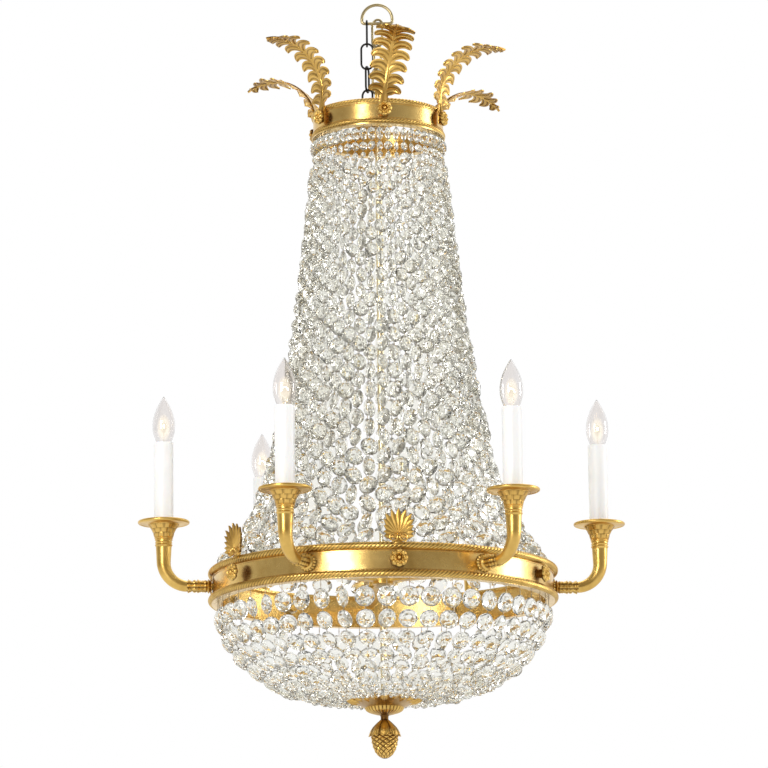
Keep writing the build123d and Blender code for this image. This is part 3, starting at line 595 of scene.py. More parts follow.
def lobe(reach, width, start_angle, end_angle):
    """Hooked lobe in the leaf's plane: across, along, rise and hollow on a grid."""
    rows, columns = 22, 13
    t = shares(rows)
    heading = np.radians(start_angle + (end_angle - start_angle) * t ** 1.5)
    step = 1 / (rows - 1)
    across = summed(0.5 * (np.sin(heading[1:]) + np.sin(heading[:-1])) * step)
    along = summed(0.5 * (np.cos(heading[1:]) + np.cos(heading[:-1])) * step)
    length = max(reach - 0.42 * width, 0.3 * reach) / across.max()
    half = 0.5 * width * (0.72 + 0.36 * np.sin(np.pi * held(t * 1.15)))
    half = half * np.sqrt(np.clip(1 - ((t - 0.80) / 0.20) ** 2, 0.02, 1)) ** np.where(t > 0.80, 1.0, 0.0)
    t, across, along, half, heading = (q[:, None] for q in (t, across, along, half, heading))
    v = np.linspace(-1, 1, columns)
    vein = ripple(np.pi * v) + 0 * t
    rise = 1.3 * MM * (1 - v ** 2) + 1.1 * MM * vein + 3.2 * MM * t ** 2
    # Grooves beside the lobe's veins are painted dark: painted shade, with aged colour.
    return (across * length + half * v * np.cos(heading), along * length - half * v * np.sin(heading), rise,
            held(0.75 - vein) * 0.95)


def leaf(tip_radius, tip_height, lean):
    """Acanthus leaf: lobes that overlap on both sides of a rib, and a strap down to the rosette."""
    start, bend = leaf_course(tip_radius, tip_height)
    radius = leaf_length / bend
    x0, z0 = leaf_back + leaf_thickness / 2, z_crown_top + MM
    tilt = Matrix.Rotation(math.radians(-lean), 4, "X")
    tilt = np.array(Matrix.Translation((x0, 0, z0)) @ tilt @ Matrix.Translation((-x0, 0, -z0)))

    def place(a, s, h):
        """Points at a distance across, along and above the leaf's arc."""
        angle = start + bend * s / leaf_length
        out = h - 2.5 * MM * (a / leaf_half_width) ** 2
        x = x0 + radius * (math.cos(start) - np.cos(angle))
        z = z0 + radius * (np.sin(angle) - math.sin(start))
        points = points_of(x + out * np.cos(angle), a, z - out * np.sin(angle))
        return points @ tilt[:3, :3].T + tilt[:3, 3]

    shape = Shape()
    spacing = 0.90 * leaf_length / leaf_lobes
    for i in range(leaf_lobes):
        share = 0.02 + 0.90 * i / (leaf_lobes - 1)
        reach = float(leaf_envelope(min(0.97, share + 0.05)))
        tall = spacing * (0.98 - 0.30 * share)
        a, s, h, hollow = lobe(reach, tall, 32 - 12 * share, 168 - 40 * share ** 2)
        # Lobes are painted darker towards the leaf's tip.
        tip_darkening = np.clip(1.6 * share - 0.75, 0, 0.55)
        for side in (-1, 1):
            jitter = rng.uniform(-1, 1) * 0.6 * MM
            along = np.clip(s + share * leaf_length * 0.96 + jitter, -6 * MM, leaf_length)
            low = 0.25 * MM * (leaf_lobes - i) / leaf_lobes
            shape.slab(place(side * a, along, h + low), place(side * a, along, h + low - 1.3 * MM),
                       held(hollow * 0.8 + tip_darkening * 0.6))
    t = np.linspace(-0.10, 0.985, 60)[:, None]
    v = np.linspace(-1, 1, 11)
    half = 4.6 * MM * (1 - 0.62 * held(t)) * np.clip((1.0 - t) * 12, 0.2, 1) ** 0.5
    vein = ripple(1.5 * np.pi * v)
    rib = 2.9 * MM * (1 - v ** 2) ** 0.8 * (1 - 0.4 * t) + 0.5 * MM * vein
    # Grooves beside the rib's veins are painted dark: painted shade, with aged colour.
    shape.slab(place(half * v, t * leaf_length, rib), place(half * v, t * leaf_length, -1.2 * MM),
               held(0.55 - vein))
    strap(shape, x0 + 0.8 * MM, leaf_back, 6 * MM, z_crown_mid - 8 * MM, z0 + 3 * MM, (12, 9), MM, 0.15)
    return shape


def leaves():
    for number, (azimuth, tip) in enumerate(zip(rosette_azimuths, leaf_tips), 1):
        tip_radius, tip_height, lean = tip
        shape = moved(leaf(tip_radius * MM, tip_height * MM, lean), at(azimuth))
        gilded(f"acanthus_leaf_{number}", shape, gilt_leaf, f"crown_leaf_{number}", 55)


# ---- shells
def shell():
    """Palmette: thirteen ridged flutes that fan out over two scrolls."""
    flutes, rows, columns = 13, 20, 9
    width, height = 43 * MM, 44 * MM
    back, base = band_radius + stand_off, z_band_top - MM
    tip = width / 12
    shape = Shape()
    t = shares(rows)
    v = np.linspace(-1, 1, columns)
    ridge = (1 - np.abs(v)) ** 0.8
    # Grooves between the flute ridges are painted dark: painted shade, with aged colour.
    hollow = held(0.62 - ridge)
    dish = 3.6 * MM * t ** 2 - 1.2 * MM * np.sin(np.pi * t)
    relief = 2.3 * MM * ridge * np.sin(np.pi * held(0.15 + 0.8 * t))[:, None]
    x = back + 2.2 * MM + dish[:, None] + relief
    half = tip * (0.26 + 1.0 * np.sin(np.pi * t ** 0.9 * 0.62)) * np.clip((1 - t) * 3.6, 0.03, 1) ** 0.8
    for side in np.linspace(-1, 1, flutes):
        reach = (height - 5 * MM) * (1 - 0.47 * abs(side) ** 1.6)
        heading = math.radians(96) * side * (0.86 + 0.24 * t ** 2)
        across = summed(np.sin(heading[1:]) / (rows - 1)) * reach
        up = summed(np.cos(heading[1:]) / (rows - 1)) * reach
        across = across * min(1.0, (0.5 * width - MM) / max(abs(across[-1]), 1e-6))
        y = across[:, None] + (half * np.cos(heading))[:, None] * v
        z = base + 7 * MM + up[:, None] - (half * np.sin(heading))[:, None] * v
        shape.slab(points_of(x, y, z), points_of(np.maximum(x - 2.6 * MM, back), y, z), hollow)
    steps = 46
    turn = np.linspace(0, 3.3 * np.pi, steps)
    size = 6.2 * MM * (1 - turn / (3.9 * np.pi))
    for side in (-1, 1):
        centre_y, centre_z = side * 7.6 * MM, base + 6.4 * MM
        path = points_of(back + 4.0 * MM, centre_y - side * size * np.cos(turn),
                         centre_z - size * np.sin(turn))
        shape.tube(path, np.linspace(1.8, 1.0, steps) * MM, 8, hollow=0.1)
        shape.ball((back + 4.0 * MM, centre_y, centre_z), (2.0 * MM, 1.8 * MM, 1.8 * MM))
    for k in range(-2, 3):
        centre = (back + 4.2 * MM, k * 2.6 * MM, base + 9.5 * MM - 0.5 * MM * k * k)
        shape.ball(centre, (2.2 * MM, 1.5 * MM, 2.6 * MM))
    strap(shape, back + 1.2 * MM, back - 0.5 * band_rope, 5.5 * MM, z_band_top - 0.4 * band_rope,
          base + 7 * MM, (10, 7), 0.9 * MM, 0.2)
    return shape


def shells():
    """Palmettes over every band rosette but the one that is bare in the photograph."""
    gilded("palmettes", all_round(shell(), shell_azimuths), gilt_leaf, "band_shells", 40)


# ---- arms
def arm_path():
    """Centre line of the horn, from the band out and up to the candle's axis."""
    bend = 35 * MM
    start = arm_reach - bend
    level = [(r, 0, z_arm) for r in np.linspace(band_face_radius + 4 * MM, start, 16)[:-1]]
    arc = [(start + bend * math.sin(a), 0, z_arm + bend * (1 - math.cos(a)))
           for a in np.linspace(0, math.pi / 2, 26)]
    rise = [(arm_reach, 0, z) for z in np.linspace(z_arm + bend, z_arm + arm_rise, 14)[1:]]
    return np.array(level + arc + rise)


def arm():
    """Horn that swells along its bend, with a leafy collar at the band and rings at the top."""
    path = arm_path()
    length = summed(np.linalg.norm(np.diff(path, axis=0), axis=1))
    top = length[-1]
    fine = np.linspace(0, top, 150)
    path = np.stack([np.interp(fine, length, path[:, k]) for k in range(3)], -1)
    radius = (7.3 + 4.4 * (fine / top) ** 1.5) * MM
    collar_start, collar_end, course_length = 4 * MM, 33 * MM, 7 * MM
    for centre, swell, spread in ((2.2, 3.0, 1.5), (6.0, 1.4, 1.6), (12.0, 0.8, 2.2), (17.5, 1.4, 1.7),
                                  (21.5, 0.8, 1.6), (31.0, 1.2, 1.2)):
        radius = radius + swell * MM * bell(fine, centre * MM, spread * MM)
    for back, swell, spread in ((6.8, 1.3, 1.2), (3.2, 0.8, 0.9)):
        radius = radius + swell * MM * bell(fine, top - back * MM, spread * MM)
    turn = circle(56)
    place = fine[:, None]
    leafy = (place > collar_start) & (place < collar_end)
    course = (place - collar_start) / course_length
    waves = ripple(4 * turn + np.pi * np.floor(course))
    fade = held(np.abs(course % 1 - 0.05) * 2.4)
    radius = radius[:, None] + np.where(leafy, 1.5 * MM * waves * fade - 0.6 * MM, 0)
    across = np.array([0.0, 1.0, 0.0])
    up = np.cross(directions(path), across)[:, None, :]
    turn = turn[:, None]
    rings = path[:, None, :] + radius[..., None] * (np.cos(turn) * across + np.sin(turn) * up)
    spigot = [(r, 0, z_arm) for r in (229 * MM, 236 * MM, band_face_radius + 4.5 * MM)]
    # Dips in the leafy collar are painted dark: painted shade, with aged colour.
    return Shape().pipe(rings, np.where(leafy, held(0.9 - waves * 1.1), 0)).tube(spigot, 5 * MM, 24)


def backplate():
    """Round plate with sixteen gadroons."""
    size, rings, sides = 13, 16, 128
    share = np.linspace(0.36, 1.0, rings)[:, None]
    turn = circle(sides)
    wave = ripple(8 * turn)
    radius = size * MM * share * (1 - 0.05 * (1 - wave ** 0.7) * share)
    rise = 4.2 * MM * np.sqrt(held(1 - ((share - 0.62) / 0.42) ** 2)) * (0.75 + 0.25 * wave * share)
    # Grooves between the gadroons are painted darker towards the rim: painted shade, with aged colour.
    shape = Shape().grid(round_x(band_face_radius + stand_off + rise, radius, turn, z_arm),
                         hollow=held(0.8 - wave) * held(share * 1.4 - 0.4))
    edge = 0.98 * size
    x, radius = np.array([(0.4, edge), (0.0, edge), (0.0, 5.0)]).T[..., None] * MM
    return shape.grid(round_x(x + band_face_radius, radius, turn, z_arm), hollow=0.1)


def cup():
    """Leafy cup between the arm's rings and the pan, in three courses of small leaves."""
    z = np.linspace(cup_low.z, cup_high.z, 60)
    share = (z - z[0]) / (z[-1] - z[0])
    radius = (12.0 + 2.2 * share + 8.3 * share ** 2.4) * MM
    profile = [(post_bore, z[0]), *zip(radius, z), (post_bore, z[-1])]
    leaves_start, course_height = 0.20, 0.26

    def relief(turn, r, height):
        s = held((height - cup_low.z) / (cup_high.z - cup_low.z))
        local = (s - leaves_start) / course_height
        course, local = np.floor(local), local % 1
        shown = (course >= 0) & (course < 3) & (s < 0.97)
        wave = ripple(5 * turn + 0.5 * np.pi * (course % 2))
        edge = wave ** 0.6 * (1 - 0.75 * local ** 3)
        veins = 0.5 + 0.5 * np.cos(36 * turn)
        rise = np.where(shown, (1.3 * edge * (0.35 + 0.65 * local) + 0.3 * veins * edge) * MM, 0)
        rings = MM * bell(s, 0.15, 0.025) + 0.8 * MM * bell(s, 0.04, 0.03)
        # Dips between the small leaves are painted dark, and the bore darker: painted shade, with aged
        # colour.
        hollow = np.where(shown, held(0.55 - edge * (0.5 + 0.3 * veins)), 0.0)
        inside = r < 5.5 * MM
        return np.where(inside, 0, rise + rings), np.where(inside, 0.6, hollow)

    return Shape().lathe(profile, 120, relief)


def pan():
    """Flared pan with a rolled rim and a plain satin inside."""
    edge, under_flat, over_flat = 34.6 * MM, 22.5 * MM, 16 * MM
    low, high, roll, sheet = pan_low.z, pan_high.z, 2.4 * MM, 2 * MM

    def flare(flat, z, places):
        return [(flat + (edge - flat) * q, z + (high - low - 3.6 * MM) * q ** 1.9) for q in places]

    places = shares(14)
    rim = [(edge + roll * math.cos(a), high - roll + roll * math.sin(a))
           for a in np.linspace(-0.75 * np.pi, 0.80 * np.pi, 16)]
    profile = [(post_bore, low), *flare(under_flat, low, places[:-1]), *rim,
               *flare(over_flat, low + sheet, places[-2::-1]), (post_bore, low + sheet)]
    return Shape().lathe(profile, 128)


def wax_sleeve():
    """White candle cover: a tube with faint runs of wax down its sides."""
    radius = 14.25 * MM
    low, high = sleeve_low.z, sleeve_high.z
    profile = [(radius - 1.5 * MM, low)]
    profile += [(radius - 0.5 * MM, z) for z in np.linspace(low, high - 1.2 * MM, 40)]
    profile += [(radius - inset * MM, high - drop * MM)
                for inset, drop in ((0.8, 0.5), (1.4, 0.0), (2.6, 0.0), (2.6, 1.4), (1.5, 1.6))]
    runs = [(rng.uniform(0, 2 * np.pi), rng.uniform(0.10, 0.22), rng.uniform(0.25, 0.85)) for _ in range(7)]

    def relief(turn, r, height):
        down = (high - height) / (high - low)
        total = 0
        for angle, spread, drop in runs:
            gap = (turn - angle + np.pi) % (2 * np.pi) - np.pi
            fade = (0.55 + 0.45 * down / drop) / (1 + np.exp((down - drop) * 40))
            total = total + bell(gap, 0, spread) * fade
        return np.where(r > radius - MM, 0.45 * MM * np.clip(total, 0, 1.1), 0), 0

    return Shape().lathe(profile, 72, relief)


def bulb_outline(inset):
    """Profile of the torpedo bulb from its neck up to the tip."""
    tall = bulb_high.z - bulb_low.z
    t = shares(40)
    keys = ((0.0, 6.0), (0.07, 6.0), (0.16, 9.2), (0.27, 13.0), (0.38, 15.6), (0.48, 16.2), (0.58, 15.7),
            (0.70, 13.4), (0.80, 10.2), (0.90, 5.9), (0.96, 2.9), (1.0, 0.35))
    place, size = np.array(keys).T
    slope = np.gradient(size, place)
    k = np.clip(np.searchsorted(place, t, side="right") - 1, 0, len(place) - 2)
    h = place[k + 1] - place[k]
    x = (t - place[k]) / h
    r = ((2 * x ** 3 - 3 * x ** 2 + 1) * size[k] + (x ** 3 - 2 * x ** 2 + x) * h * slope[k]
         + (3 * x ** 2 - 2 * x ** 3) * size[k + 1] + (x ** 3 - x ** 2) * h * slope[k + 1])
    z = bulb_low.z + tall * t - inset * t ** 3
    return list(zip(np.maximum(r * MM - inset, 0.2 * MM), z))


def bulb(index):
    """Envelope, glass mount, leads, glow and filament of one bulb."""
    number = index + 1
    place = at(arm_azimuths[index]) @ Matrix.Translation((arm_reach, 0, 0))

    def part(name, shape, material, slot, *nodes):
        piece(f"bulb_{name}_{number}", moved(shape, place), material, f"bulb_{number}", slot, *nodes,
              smooth=60)

    walls = bulb_outline(0.0) + bulb_outline(0.8 * MM)[::-1]
    part("envelope", Shape().lathe(walls, 56), bulb_glass, "bulb_clear", f"bulb_glass_{number}")
    mount_low = bulb_low.z + MM
    middle = bulb_low.z + 0.42 * (bulb_high.z - bulb_low.z)
    mount = Shape().tube([(0, 0, mount_low + rise * MM) for rise in (0, 8, 15, 18)],
                         np.array([4.6, 3.2, 1.8, 1.2]) * MM, 16)
    part("mount", mount, bulb_glass, "bulb_clear")
    leads = Shape()
    for side in (-1, 1):
        leads.tube([(0, side * 1.6 * MM, mount_low + 10 * MM), (0, side * 4.0 * MM, middle - 3 * MM),
                    (0, side * 5.2 * MM, middle + 2 * MM)], 0.2 * MM, 6)
    part("leads", leads, steel, "bulb_cap")
    glow = Shape()
    for share in np.arange(1, 8) / 7:
        glow.ball((0, 0, middle + 3 * MM), np.array([9.5, 9.5, 19]) * MM * share, 18, 28)
    part("glow", glow, warm_halo, "bulb_clear")
    turns = 26
    t = np.linspace(0, 1, turns * 8)
    coil = 2 * np.pi * turns * t
    path = points_of(0.7 * MM * np.cos(coil), -5.2 * MM * np.cos(np.pi * t) + 0.5 * MM * np.sin(coil),
                     middle + 2 * MM + 5.5 * MM * np.sin(np.pi * t))
    part("filament", Shape().tube(path, 0.28 * MM, 6), filament_glow, "bulb_clear")


def lights_on_arms():
    """Arm, bulb, backplate, cup, pan and candle sleeve at each azimuth."""
    out = Matrix.Translation((arm_reach, 0, 0))
    horn = arm()
    for index, azimuth in enumerate(arm_azimuths):
        number = index + 1
        gilded(f"arm_horn_{number}", moved(horn, at(azimuth)), gilt, f"arm_{number}", 50)
        bulb(index)
    for name, shape, material, node in (
            ("arm_gadroons", backplate(), gilt, "arm_backplates"),
            ("leafy_cups", moved(cup(), out), gilt_leaf, "candle_cups"),
            ("flared_pans", moved(pan(), out), gilt, "drip_pans")):
        gilded(name, all_round(shape, arm_azimuths), material, node, 50)
    candles = Shape()
    for azimuth in arm_azimuths:
        candles.copy_of(wax_sleeve(), at(azimuth) @ out)
    piece("wax_sleeves", candles, sleeve_white, "fixture", "candle_white", "candle_sleeves", smooth=50)


# ---- crystal
def bead_points():
    """Unit bead: a broad table in front, a near point behind, courses of facets and a thin girdle."""
    front = ((0.19, 0.245, 0.0, 8), (0.34, 0.190, 0.5, 8), (0.44, 0.110, 0.0, 16), (0.5, 0.025, 0.0, 16))
    behind = ((0.05, 0.270, 0.5, 8), (0.28, 0.200, 0.0, 8), (0.43, 0.105, 0.0, 16), (0.5, 0.025, 0.0, 16))
    points = []
    for rings, side in ((front, 1), (behind, -1)):
        for radius, height, turn, count in rings:
            angles = (np.arange(count) * 8 / count + turn) * np.pi / 4
            points.append(round_z(radius, angles, side * height))
    return np.concatenate(points)


def bead_faces():
    """Faces of the unit bead: its rings hold 8, 8, 16 and 16 points on either side."""
    faces = []
    for side, shift, late in ((1, 0, 0), (-1, 48, 1)):
        def face(*indices):
            faces.append(tuple(i + shift for i in (indices if side > 0 else indices[::-1])))
        face(*range(8))
        for k in range(8):
            before, after = (k - 1 + late) % 8, (k + late) % 8
            c = 2 * before + 1 - late
            low, middle, high = 16 + c % 16, 16 + (c + 1) % 16, 16 + (c + 2) % 16
            face(k, 8 + after, (k + 1) % 8)
            face(k, 8 + before, 8 + after)
            face(8 + before, low, middle)
            face(8 + before, middle, 8 + after)
            face(8 + after, middle, high)
        for k in range(16):
            j = (k + 1) % 16
            face(16 + k, 32 + k, 32 + j, 16 + j)
    for k in range(16):
        j = (k + 1) % 16
        faces.append((32 + k, 80 + k, 80 + j, 32 + j))
    return faces


unit_bead, unit_faces = bead_points(), bead_faces()


def tent_course():
    """Catenary from the crown's hook to the band's hook, as a function of length."""
    a = tent_curve
    r_top, r_low = crown_hook_radius, band_hook_radius
    z_top = z_crown_bottom - hook_length
    z_low = z_band_top - 2 * MM + hook_length
    run, drop = r_low - r_top, z_top - z_low
    r_zero = (r_top + r_low) / 2 + a * math.asinh(drop / (2 * a * math.sinh(run / (2 * a))))
    s_top = a * math.sinh((r_zero - r_top) / a)
    total = s_top - a * math.sinh((r_zero - r_low) / a)

    def point(s):
        r = r_zero - a * math.asinh((s_top - s) / a)
        return r, z_top - a * (math.cosh((r_zero - r_top) / a) - math.cosh((r_zero - r) / a))

    return point, total


def basket_course():
    """Quarter ellipse from the band's lower hook in to the bottom ring's rim."""
    z_top = z_band_bottom - hook_length
    inner = ring_high.x
    run, drop = band_hook_radius - inner, z_top - z_ring
    steps = 400
    mid = (np.arange(steps) + 0.5) / steps * np.pi / 2
    table = summed(np.hypot(run * np.sin(mid), drop * np.cos(mid)) * np.pi / 2 / steps)

    def point(s):
        angle = np.interp(s, table, np.linspace(0, np.pi / 2, steps + 1))
        return inner + run * math.cos(angle), z_top - drop * math.sin(angle)

    return point, table[-1]


def graded(first, last, total, gap):
    """Bead sizes that grow or shrink evenly, as many as a length holds."""
    count = max(2, round(total / ((first + last) / 2 + gap)))
    return [first + (last - first) * i / (count - 1) for i in range(count)]


def bead_places(course, total, sizes, lead, tail):
    """Radius, height, slope and size of each bead."""
    span = sum(sizes) - sizes[0] / 2 - sizes[-1] / 2
    gap = (total - lead - tail - span) / (len(sizes) - 1)
    s = lead
    places = []
    for i, size in enumerate(sizes):
        if i:
            s += sizes[i - 1] / 2 + gap + size / 2
        r0, z0 = course(s - 0.5 * MM)
        r1, z1 = course(s + 0.5 * MM)
        places.append((*course(s), math.atan2(z1 - z0, r1 - r0), size))
    return places


def bead_turn(diameter, radius):
    """Angle that turns a bead about its strand so that it clears its neighbours."""
    space = 2 * math.pi * radius / strand_count
    if diameter + 0.8 * MM <= space:
        return 0.0
    return math.asin(min(1.0, 1.15 * diameter * 0.5 / space))


def hang_strand(beads, pins, azimuth, places, ends, spread, edge_on=0):
    """Beads turned a little at random about their strand, and the wires that join them."""
    frame_of = np.array(at(azimuth))[:3, :3]
    across = np.array([0.0, 1.0, 0.0])
    stops = [np.array([ends[0][0], 0, ends[0][1]])]
    for i, (r, z, slope, size) in enumerate(places):
        centre = np.array([r, 0, z])
        tangent = np.array([math.cos(slope), 0, math.sin(slope)])
        turn = bead_turn(size, r) * rng.choice((-1, 1)) + rng.normal(0, spread) + np.pi * rng.integers(0, 2)
        if i < edge_on:
            turn = 1.35 + rng.normal(0, 0.08)
        normal = np.cross(tangent, across) * math.cos(turn) + across * math.sin(turn)
        tilt = rng.normal(0, 0.05)
        tilted = tangent * math.cos(tilt) + normal * math.sin(tilt)
        facing = normal * math.cos(tilt) - tangent * math.sin(tilt)
        spin = np.array([tilted, np.cross(facing, tilted), facing])
        beads.add(((unit_bead * size) @ spin + centre) @ frame_of.T, unit_faces)
        stops += [centre - tangent * size * 0.44, centre + tangent * size * 0.44]
    stops.append(np.array([ends[1][0], 0, ends[1][1]]))
    for a, b in zip(stops[::2], stops[1::2]):
        path = np.array([a + (b - a) * q for q in (0, 0.35, 0.5, 0.65, 1)])
        pins.tube(path @ frame_of.T, np.array([0.35, 0.45, 0.75, 0.45, 0.35]) * MM, 6)


def crystals():
    """Tent strands from the crown to the band, and basket strands from the band to the bottom ring."""
    tent, tent_total = tent_course()
    basket, basket_total = basket_course()
    top_size, low_size = 18.8 * MM, 29.6 * MM
    even = [19 * MM, 12.5 * MM] + graded(top_size, low_size, tent_total - 46 * MM, 2.2 * MM)
    odd = even[:2] + [0.5 * top_size] + even[2:-1] + [0.5 * low_size]
    sizes = graded(28.5 * MM, 13 * MM, basket_total - 14 * MM, 3.4 * MM)
    low_places = bead_places(basket, basket_total, sizes, sizes[0] / 2 + 6 * MM, sizes[-1] / 2 + MM)
    tent_ends = ((crown_hook_radius, z_crown_bottom), (band_hook_radius, z_band_top - 2 * MM))
    basket_ends = ((band_hook_radius, z_band_bottom), (ring_high.x - MM, z_ring))
    share = strand_count // strand_groups
    for group in range(strand_groups):
        tent_beads, tent_pins, low_beads, low_pins = Shape(), Shape(), Shape(), Shape()
        for k in range(group * share, (group + 1) * share):
            sizes = odd if k % 2 else even
            places = bead_places(tent, tent_total, sizes, 7.5 * MM, sizes[-1] / 2)
            hang_strand(tent_beads, tent_pins, strand_azimuths[k], places, tent_ends, 0.35, 1)
            hang_strand(low_beads, low_pins, strand_azimuths[k], low_places, basket_ends, 0.4)
        number = group + 1
        for name, beads, pins in (("tent", tent_beads, tent_pins), ("basket", low_beads, low_pins)):
            piece(f"{name}_beads_{number}", beads, crystal, "fixture", "crystal", f"{name}_strands_{number}",
                  smooth=0)
            piece(f"{name}_pins_{number}", pins, pin_metal, "fixture", "steel", smooth=60)


# ---- bottom
def garland_leaf():
    """Small lobed leaf on the ring's edge, pointing outwards along +X and curling up."""
    t = shares(26)[:, None]
    v = np.linspace(-1, 1, 11)
    start, reach, half_thickness = 36 * MM, 19.5 * MM, 0.6 * MM
    lobes = 0.50 + 0.50 * np.abs(np.sin(3.4 * np.pi * t)) ** 0.6
    half = 6.6 * MM * lobes * np.sin(np.pi * held(0.18 + 0.80 * t)) ** 0.55
    x = start + reach * t - 2.4 * MM * np.abs(v) ** 1.5 * t
    curl = 3.5 * MM * held(t - 0.45) ** 2 * 3 - 3.2 * MM * (1 - t)
    vein = ripple(2 * np.pi * v)
    rise = 2.6 * MM * (1 - np.abs(v)) + 0.9 * MM * vein
    z = z_ring + curl - half_thickness
    # Grooves beside each leaf's veins are painted dark: painted shade, with aged colour.
    return Shape().slab(points_of(x, half * v, z + half_thickness),
                        points_of(x, half * v, z - rise - half_thickness), held(0.8 - vein) * 0.8)


def bottom():
    """Ring with its garland of leaves, and the fluted dish below it."""
    r, low = ring_high.x, ring_low.z
    ring = [(stem_bore, low + 2 * MM), (28 * MM, low + 2 * MM), (r - 9 * MM, z_ring + 0.5 * MM),
            (r - 3 * MM, z_ring + MM), (r - 2 * MM, z_ring), (r - 3 * MM, z_ring - 1.2 * MM),
            (r - 9 * MM, z_ring - 1.6 * MM), (29 * MM, low), (stem_bore, low)]
    # The ring under the leaves is painted somewhat dark: painted shade, with aged colour.
    garland = Shape().lathe(ring, 128, hollow=0.4)
    count, one = 20, garland_leaf()
    for k in range(count):
        garland.copy_of(one, at(k * 360 / count) @ Matrix.Translation((0, 0, (k % 2) * 0.8 * MM)))
    gilded("leaf_garland", garland, gilt_leaf, "bottom_ring", 50)

    top, foot = dish_high.z, dish_low.z
    s = shares(24)
    radius = 28 * MM - 2 * MM * s - 12 * MM * s ** 3.2
    profile = [(stem_bore, top), *zip(radius, top - (top - foot) * 0.86 * s), (8.4 * MM, foot),
               (stem_bore, foot)]

    def flutes(turn, r, height):
        wave = np.abs(np.sin(15 * turn))
        shown = (r > 11 * MM) & (height < top - 0.6 * MM)
        # Flute grooves are painted dark and the rest a little dark: painted shade, with aged colour.
        return np.where(shown, -1.5 * MM * (1 - wave) ** 1.2, 0), np.where(shown, held(0.8 - wave), 0.3)

    gilded("fluted_dish", Shape().lathe(profile, 240, flutes), gilt, "bottom_dish", 45)


def finial():
    """Neck, a cap of eight pointed leaves, and the cone's spiral scales."""
    top, low = finial_high.z - dish_gap, finial_low.z
    bore, neck_low = 5.1 * MM, top - 6.0 * MM
    neck = [(bore, top), (6.4 * MM, top), (5.6 * MM, top - 2 * MM), (5.5 * MM, neck_low),
            (8.0 * MM, neck_low - 2.2 * MM), (bore, neck_low - 2.4 * MM)]
    # The neck under the dish is painted dark: painted shade under the dish, with aged colour.
    shape = Shape().lathe(neck, 64, hollow=0.75)
    cap_top, cap_low = neck_low - 1.2 * MM, top - 30.5 * MM
    s = shares(40)[:, None]
    turn = circle(192)
    lead = ripple(4 * turn)
    radius = (7.0 + 12.6 * np.sin(np.pi * held(s * 0.60)) + 2.6 * s ** 7) * MM
    ridge = 2.8 * MM * (lead ** 0.6 - 0.65) * held(s * 1.4) + 0.8 * MM * ripple(12 * turn) * s
    radius = radius + ridge
    z = cap_top - (cap_top - cap_low) * (0.86 + 0.14 * lead ** 0.8) * s
    # Grooves between the cap's leaves, and its top under the neck, are painted dark: painted shade, with
    # aged colour.
    hollow = held(0.95 - lead ** 0.5 + 0.25 * (1 - s)) * held(1.25 - 0.6 * s)
    inside = round_z(radius - 1.8 * MM, turn, z + 0.4 * MM)
    shape.grid(np.concatenate([round_z(radius, turn, z), inside[::-1]]), True,
               np.concatenate([hollow, hollow[::-1]]))
    cone_top = top - 26 * MM
    s = shares(120)[:, None]
    radius = 19.0 * MM * np.sqrt(held(1 - (s * 0.985) ** 2.3)) ** 1.05 + 0.3 * MM
    around, climb = 11 * turn / (2 * np.pi), 5.2 * s ** 0.92
    u, w = (around + climb) % 1 - 0.5, (around - climb) % 1 - 0.5
    scale = held(1 - 2 * np.maximum(np.abs(u), np.abs(w)))
    radius = radius + (2.1 * MM * scale ** 0.6 - 1.5 * MM) * np.clip((1 - s) * 6, 0.2, 1)
    start, hidden_face = shape.count, 224
    # Gaps between the cone's scales are painted dark: painted shade, with aged colour.
    shape.grid(round_z(radius, turn, cone_top - (cone_top - low - 0.3 * MM) * s),
               hollow=held(0.9 - 2.4 * scale))
    # The face under the leaves runs on into the cone's second ring, and the tip is open.
    shape.cap(start, hidden_face)
    piece("pinecone", shape, gilt_leaf, "finial", "gilt", "finial", smooth=45)


# ---- frame nodes that stay
def dress(node, material, smooth=40.0):
    """Finish a CAD node whose shape is right."""
    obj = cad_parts[node]
    obj.data.materials.clear()
    obj.data.materials.append(material)
    obj.data.polygons.foreach_set("use_smooth", [True] * len(obj.data.polygons))
    obj.data.set_sharp_from_angle(angle=math.radians(smooth))


def dress_frame():
    """Finish every CAD node that no piece replaces."""
    for names, material, smooth in (
            (("hanger_ring", "brass_link"), chain_brass, 60), (("black_link",), chain_black, 60),
            (("top_loop", "crown_spider", "band_spider"), gilt, 40), (("stem_pipe",), stem_brass, 40),
            (("stem_nuts", "rosette_nuts", "arm_nuts", "holder_posts", "bulb_base"), steel, 40),
            (("lampholders",), holder_body, 40)):
        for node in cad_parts:
            if node.startswith(names):
                dress(node, material, smooth)


# ---- stage
def backdrop_mix(tree, plain, bright):
    """Show the bright shader to the camera, to mirrors and through glass, and the plain one to the rest."""
    seen = 0.0
    for ray in ("Glossy", "Transmission", "Camera"):
        path = tree.new("LightPath", {}, f"Is {ray} Ray")
        seen = tree.new("Math", {0: seen, 1: path}, operation="MAXIMUM")
    return tree.mix(seen, plain, bright)


def make_world():
    world = bpy.data.worlds.new("studio")
    bpy.context.scene.world = world
    tree = Tree(world)
    tree.nodes.clear()
    place = tree.new("TexCoord", {}, "Generated")
    lean = tree.new("VectorMath", {0: place, 1: (0.30, 0.95, 0.0)}, "Value", operation="DOT_PRODUCT")
    room = tree.ramp(tree.ranged(lean, 0.0, 1.0, -0.75, 0.45),
                     (0.0, (0.34, 0.31, 0.27)), (0.4, (0.46, 0.44, 0.40)), (0.8, (1, 1, 1)))
    seen = tree.blend(tree.new("LightPath", {}, "Is Camera Ray"), room, (1.0, 1.0, 1.0))
    bright = tree.new("Background", {"Color": seen})
    plain = tree.new("Background", {"Color": (0.72, 0.72, 0.72)})
    tree.new("OutputWorld", {"Surface": backdrop_mix(tree, plain, bright)})


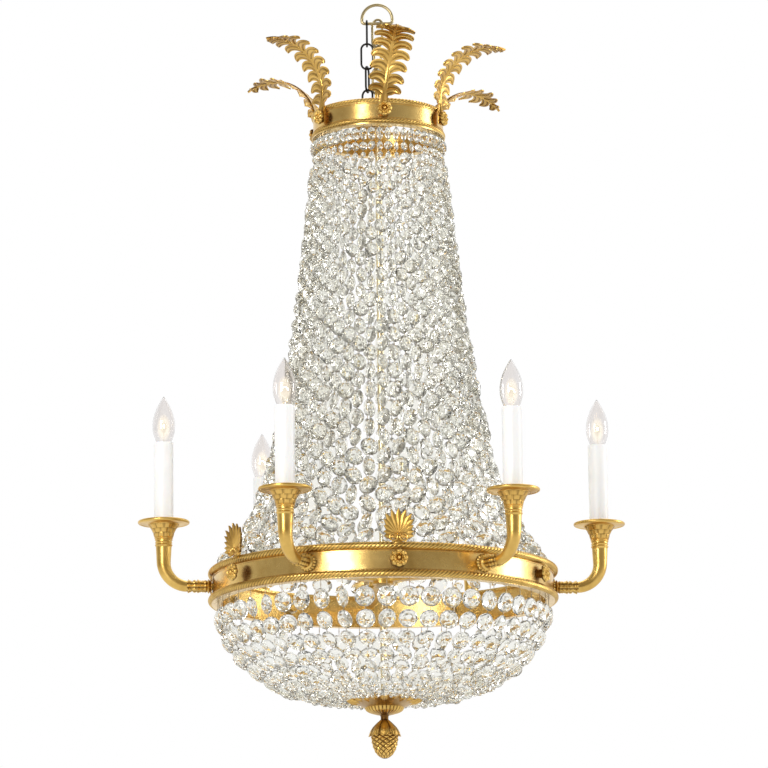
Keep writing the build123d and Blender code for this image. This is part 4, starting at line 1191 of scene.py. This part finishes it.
def make_floor():
    size, z = 30.0, -4.2
    mesh = bpy.data.meshes.new("floor")
    mesh.from_pydata([(-size, -size, z), (size, -size, z), (size, size, z), (-size, size, z)], [],
                     [(0, 1, 2, 3)])
    floor = bpy.data.objects.new("floor", mesh)
    bpy.context.scene.collection.objects.link(floor)
    tree = Tree("pale_floor")
    plain = tree.surface({"Base Color": tree.drift(1.5, 2.0, 0.3, (0.80,) * 3, 0.7, (0.84,) * 3),
                          "Roughness": 0.8})
    tree.show(backdrop_mix(tree, plain, tree.new("Emission", {"Strength": 1.0})))
    mesh.materials.append(tree.owner)


def area_light(name, place, aim, size, energy, colour=(1, 1, 1)):
    data = bpy.data.lights.new(name, "AREA")
    data.shape = "RECTANGLE"
    data.size, data.size_y = size
    data.energy = energy
    data.color = colour
    light = bpy.data.objects.new(name, data)
    light.location = place
    light.rotation_euler = (Vector(aim) - Vector(place)).to_track_quat("-Z", "Y").to_euler()
    bpy.context.scene.collection.objects.link(light)


def make_lights():
    aim = (0, 0, -0.6)
    area_light("strobe_left", (-1.9, -3.6, 0.1), aim, (1.0, 1.6), 75, (1.0, 0.985, 0.96))
    area_light("strobe_right", (3.6, 0.3, 0.0), aim, (1.0, 1.6), 45, (1.0, 0.99, 0.975))
    area_light("fill_top", (0.3, 1.2, 2.2), aim, (2.2, 2.2), 25)


def make_camera():
    """Camera at the photograph's place: below the piece, looking up, with a long lens."""
    pitch, roll, yaw = math.radians(11.886), math.radians(-0.628), math.radians(-0.044)
    place = Vector((0, -5.6743, -1.7621))
    focal_px, frame_px, sensor = 4019.4, 768, 36.0
    forward = Vector((-math.sin(yaw) * math.cos(pitch), math.cos(yaw) * math.cos(pitch), math.sin(pitch)))
    right = Vector((math.cos(yaw), math.sin(yaw), 0))
    up = right.cross(forward)
    tilted_right = right * math.cos(roll) + up * math.sin(roll)
    tilted_up = up * math.cos(roll) - right * math.sin(roll)
    data = bpy.data.cameras.new("camera")
    data.sensor_width = sensor
    data.lens = sensor * focal_px / frame_px
    camera = bpy.data.objects.new("camera", data)
    turn = Matrix((tilted_right, tilted_up, -forward)).transposed().to_4x4()
    camera.matrix_world = Matrix.Translation(place) @ turn
    bpy.context.scene.collection.objects.link(camera)
    bpy.context.scene.camera = camera


# ---- build
bpy.context.scene.view_settings.view_transform = "Standard"
crown()
main_band()
rosettes()
leaves()
shells()
lights_on_arms()
crystals()
bottom()
finial()
dress_frame()
make_world()
make_floor()
make_lights()
make_camera()
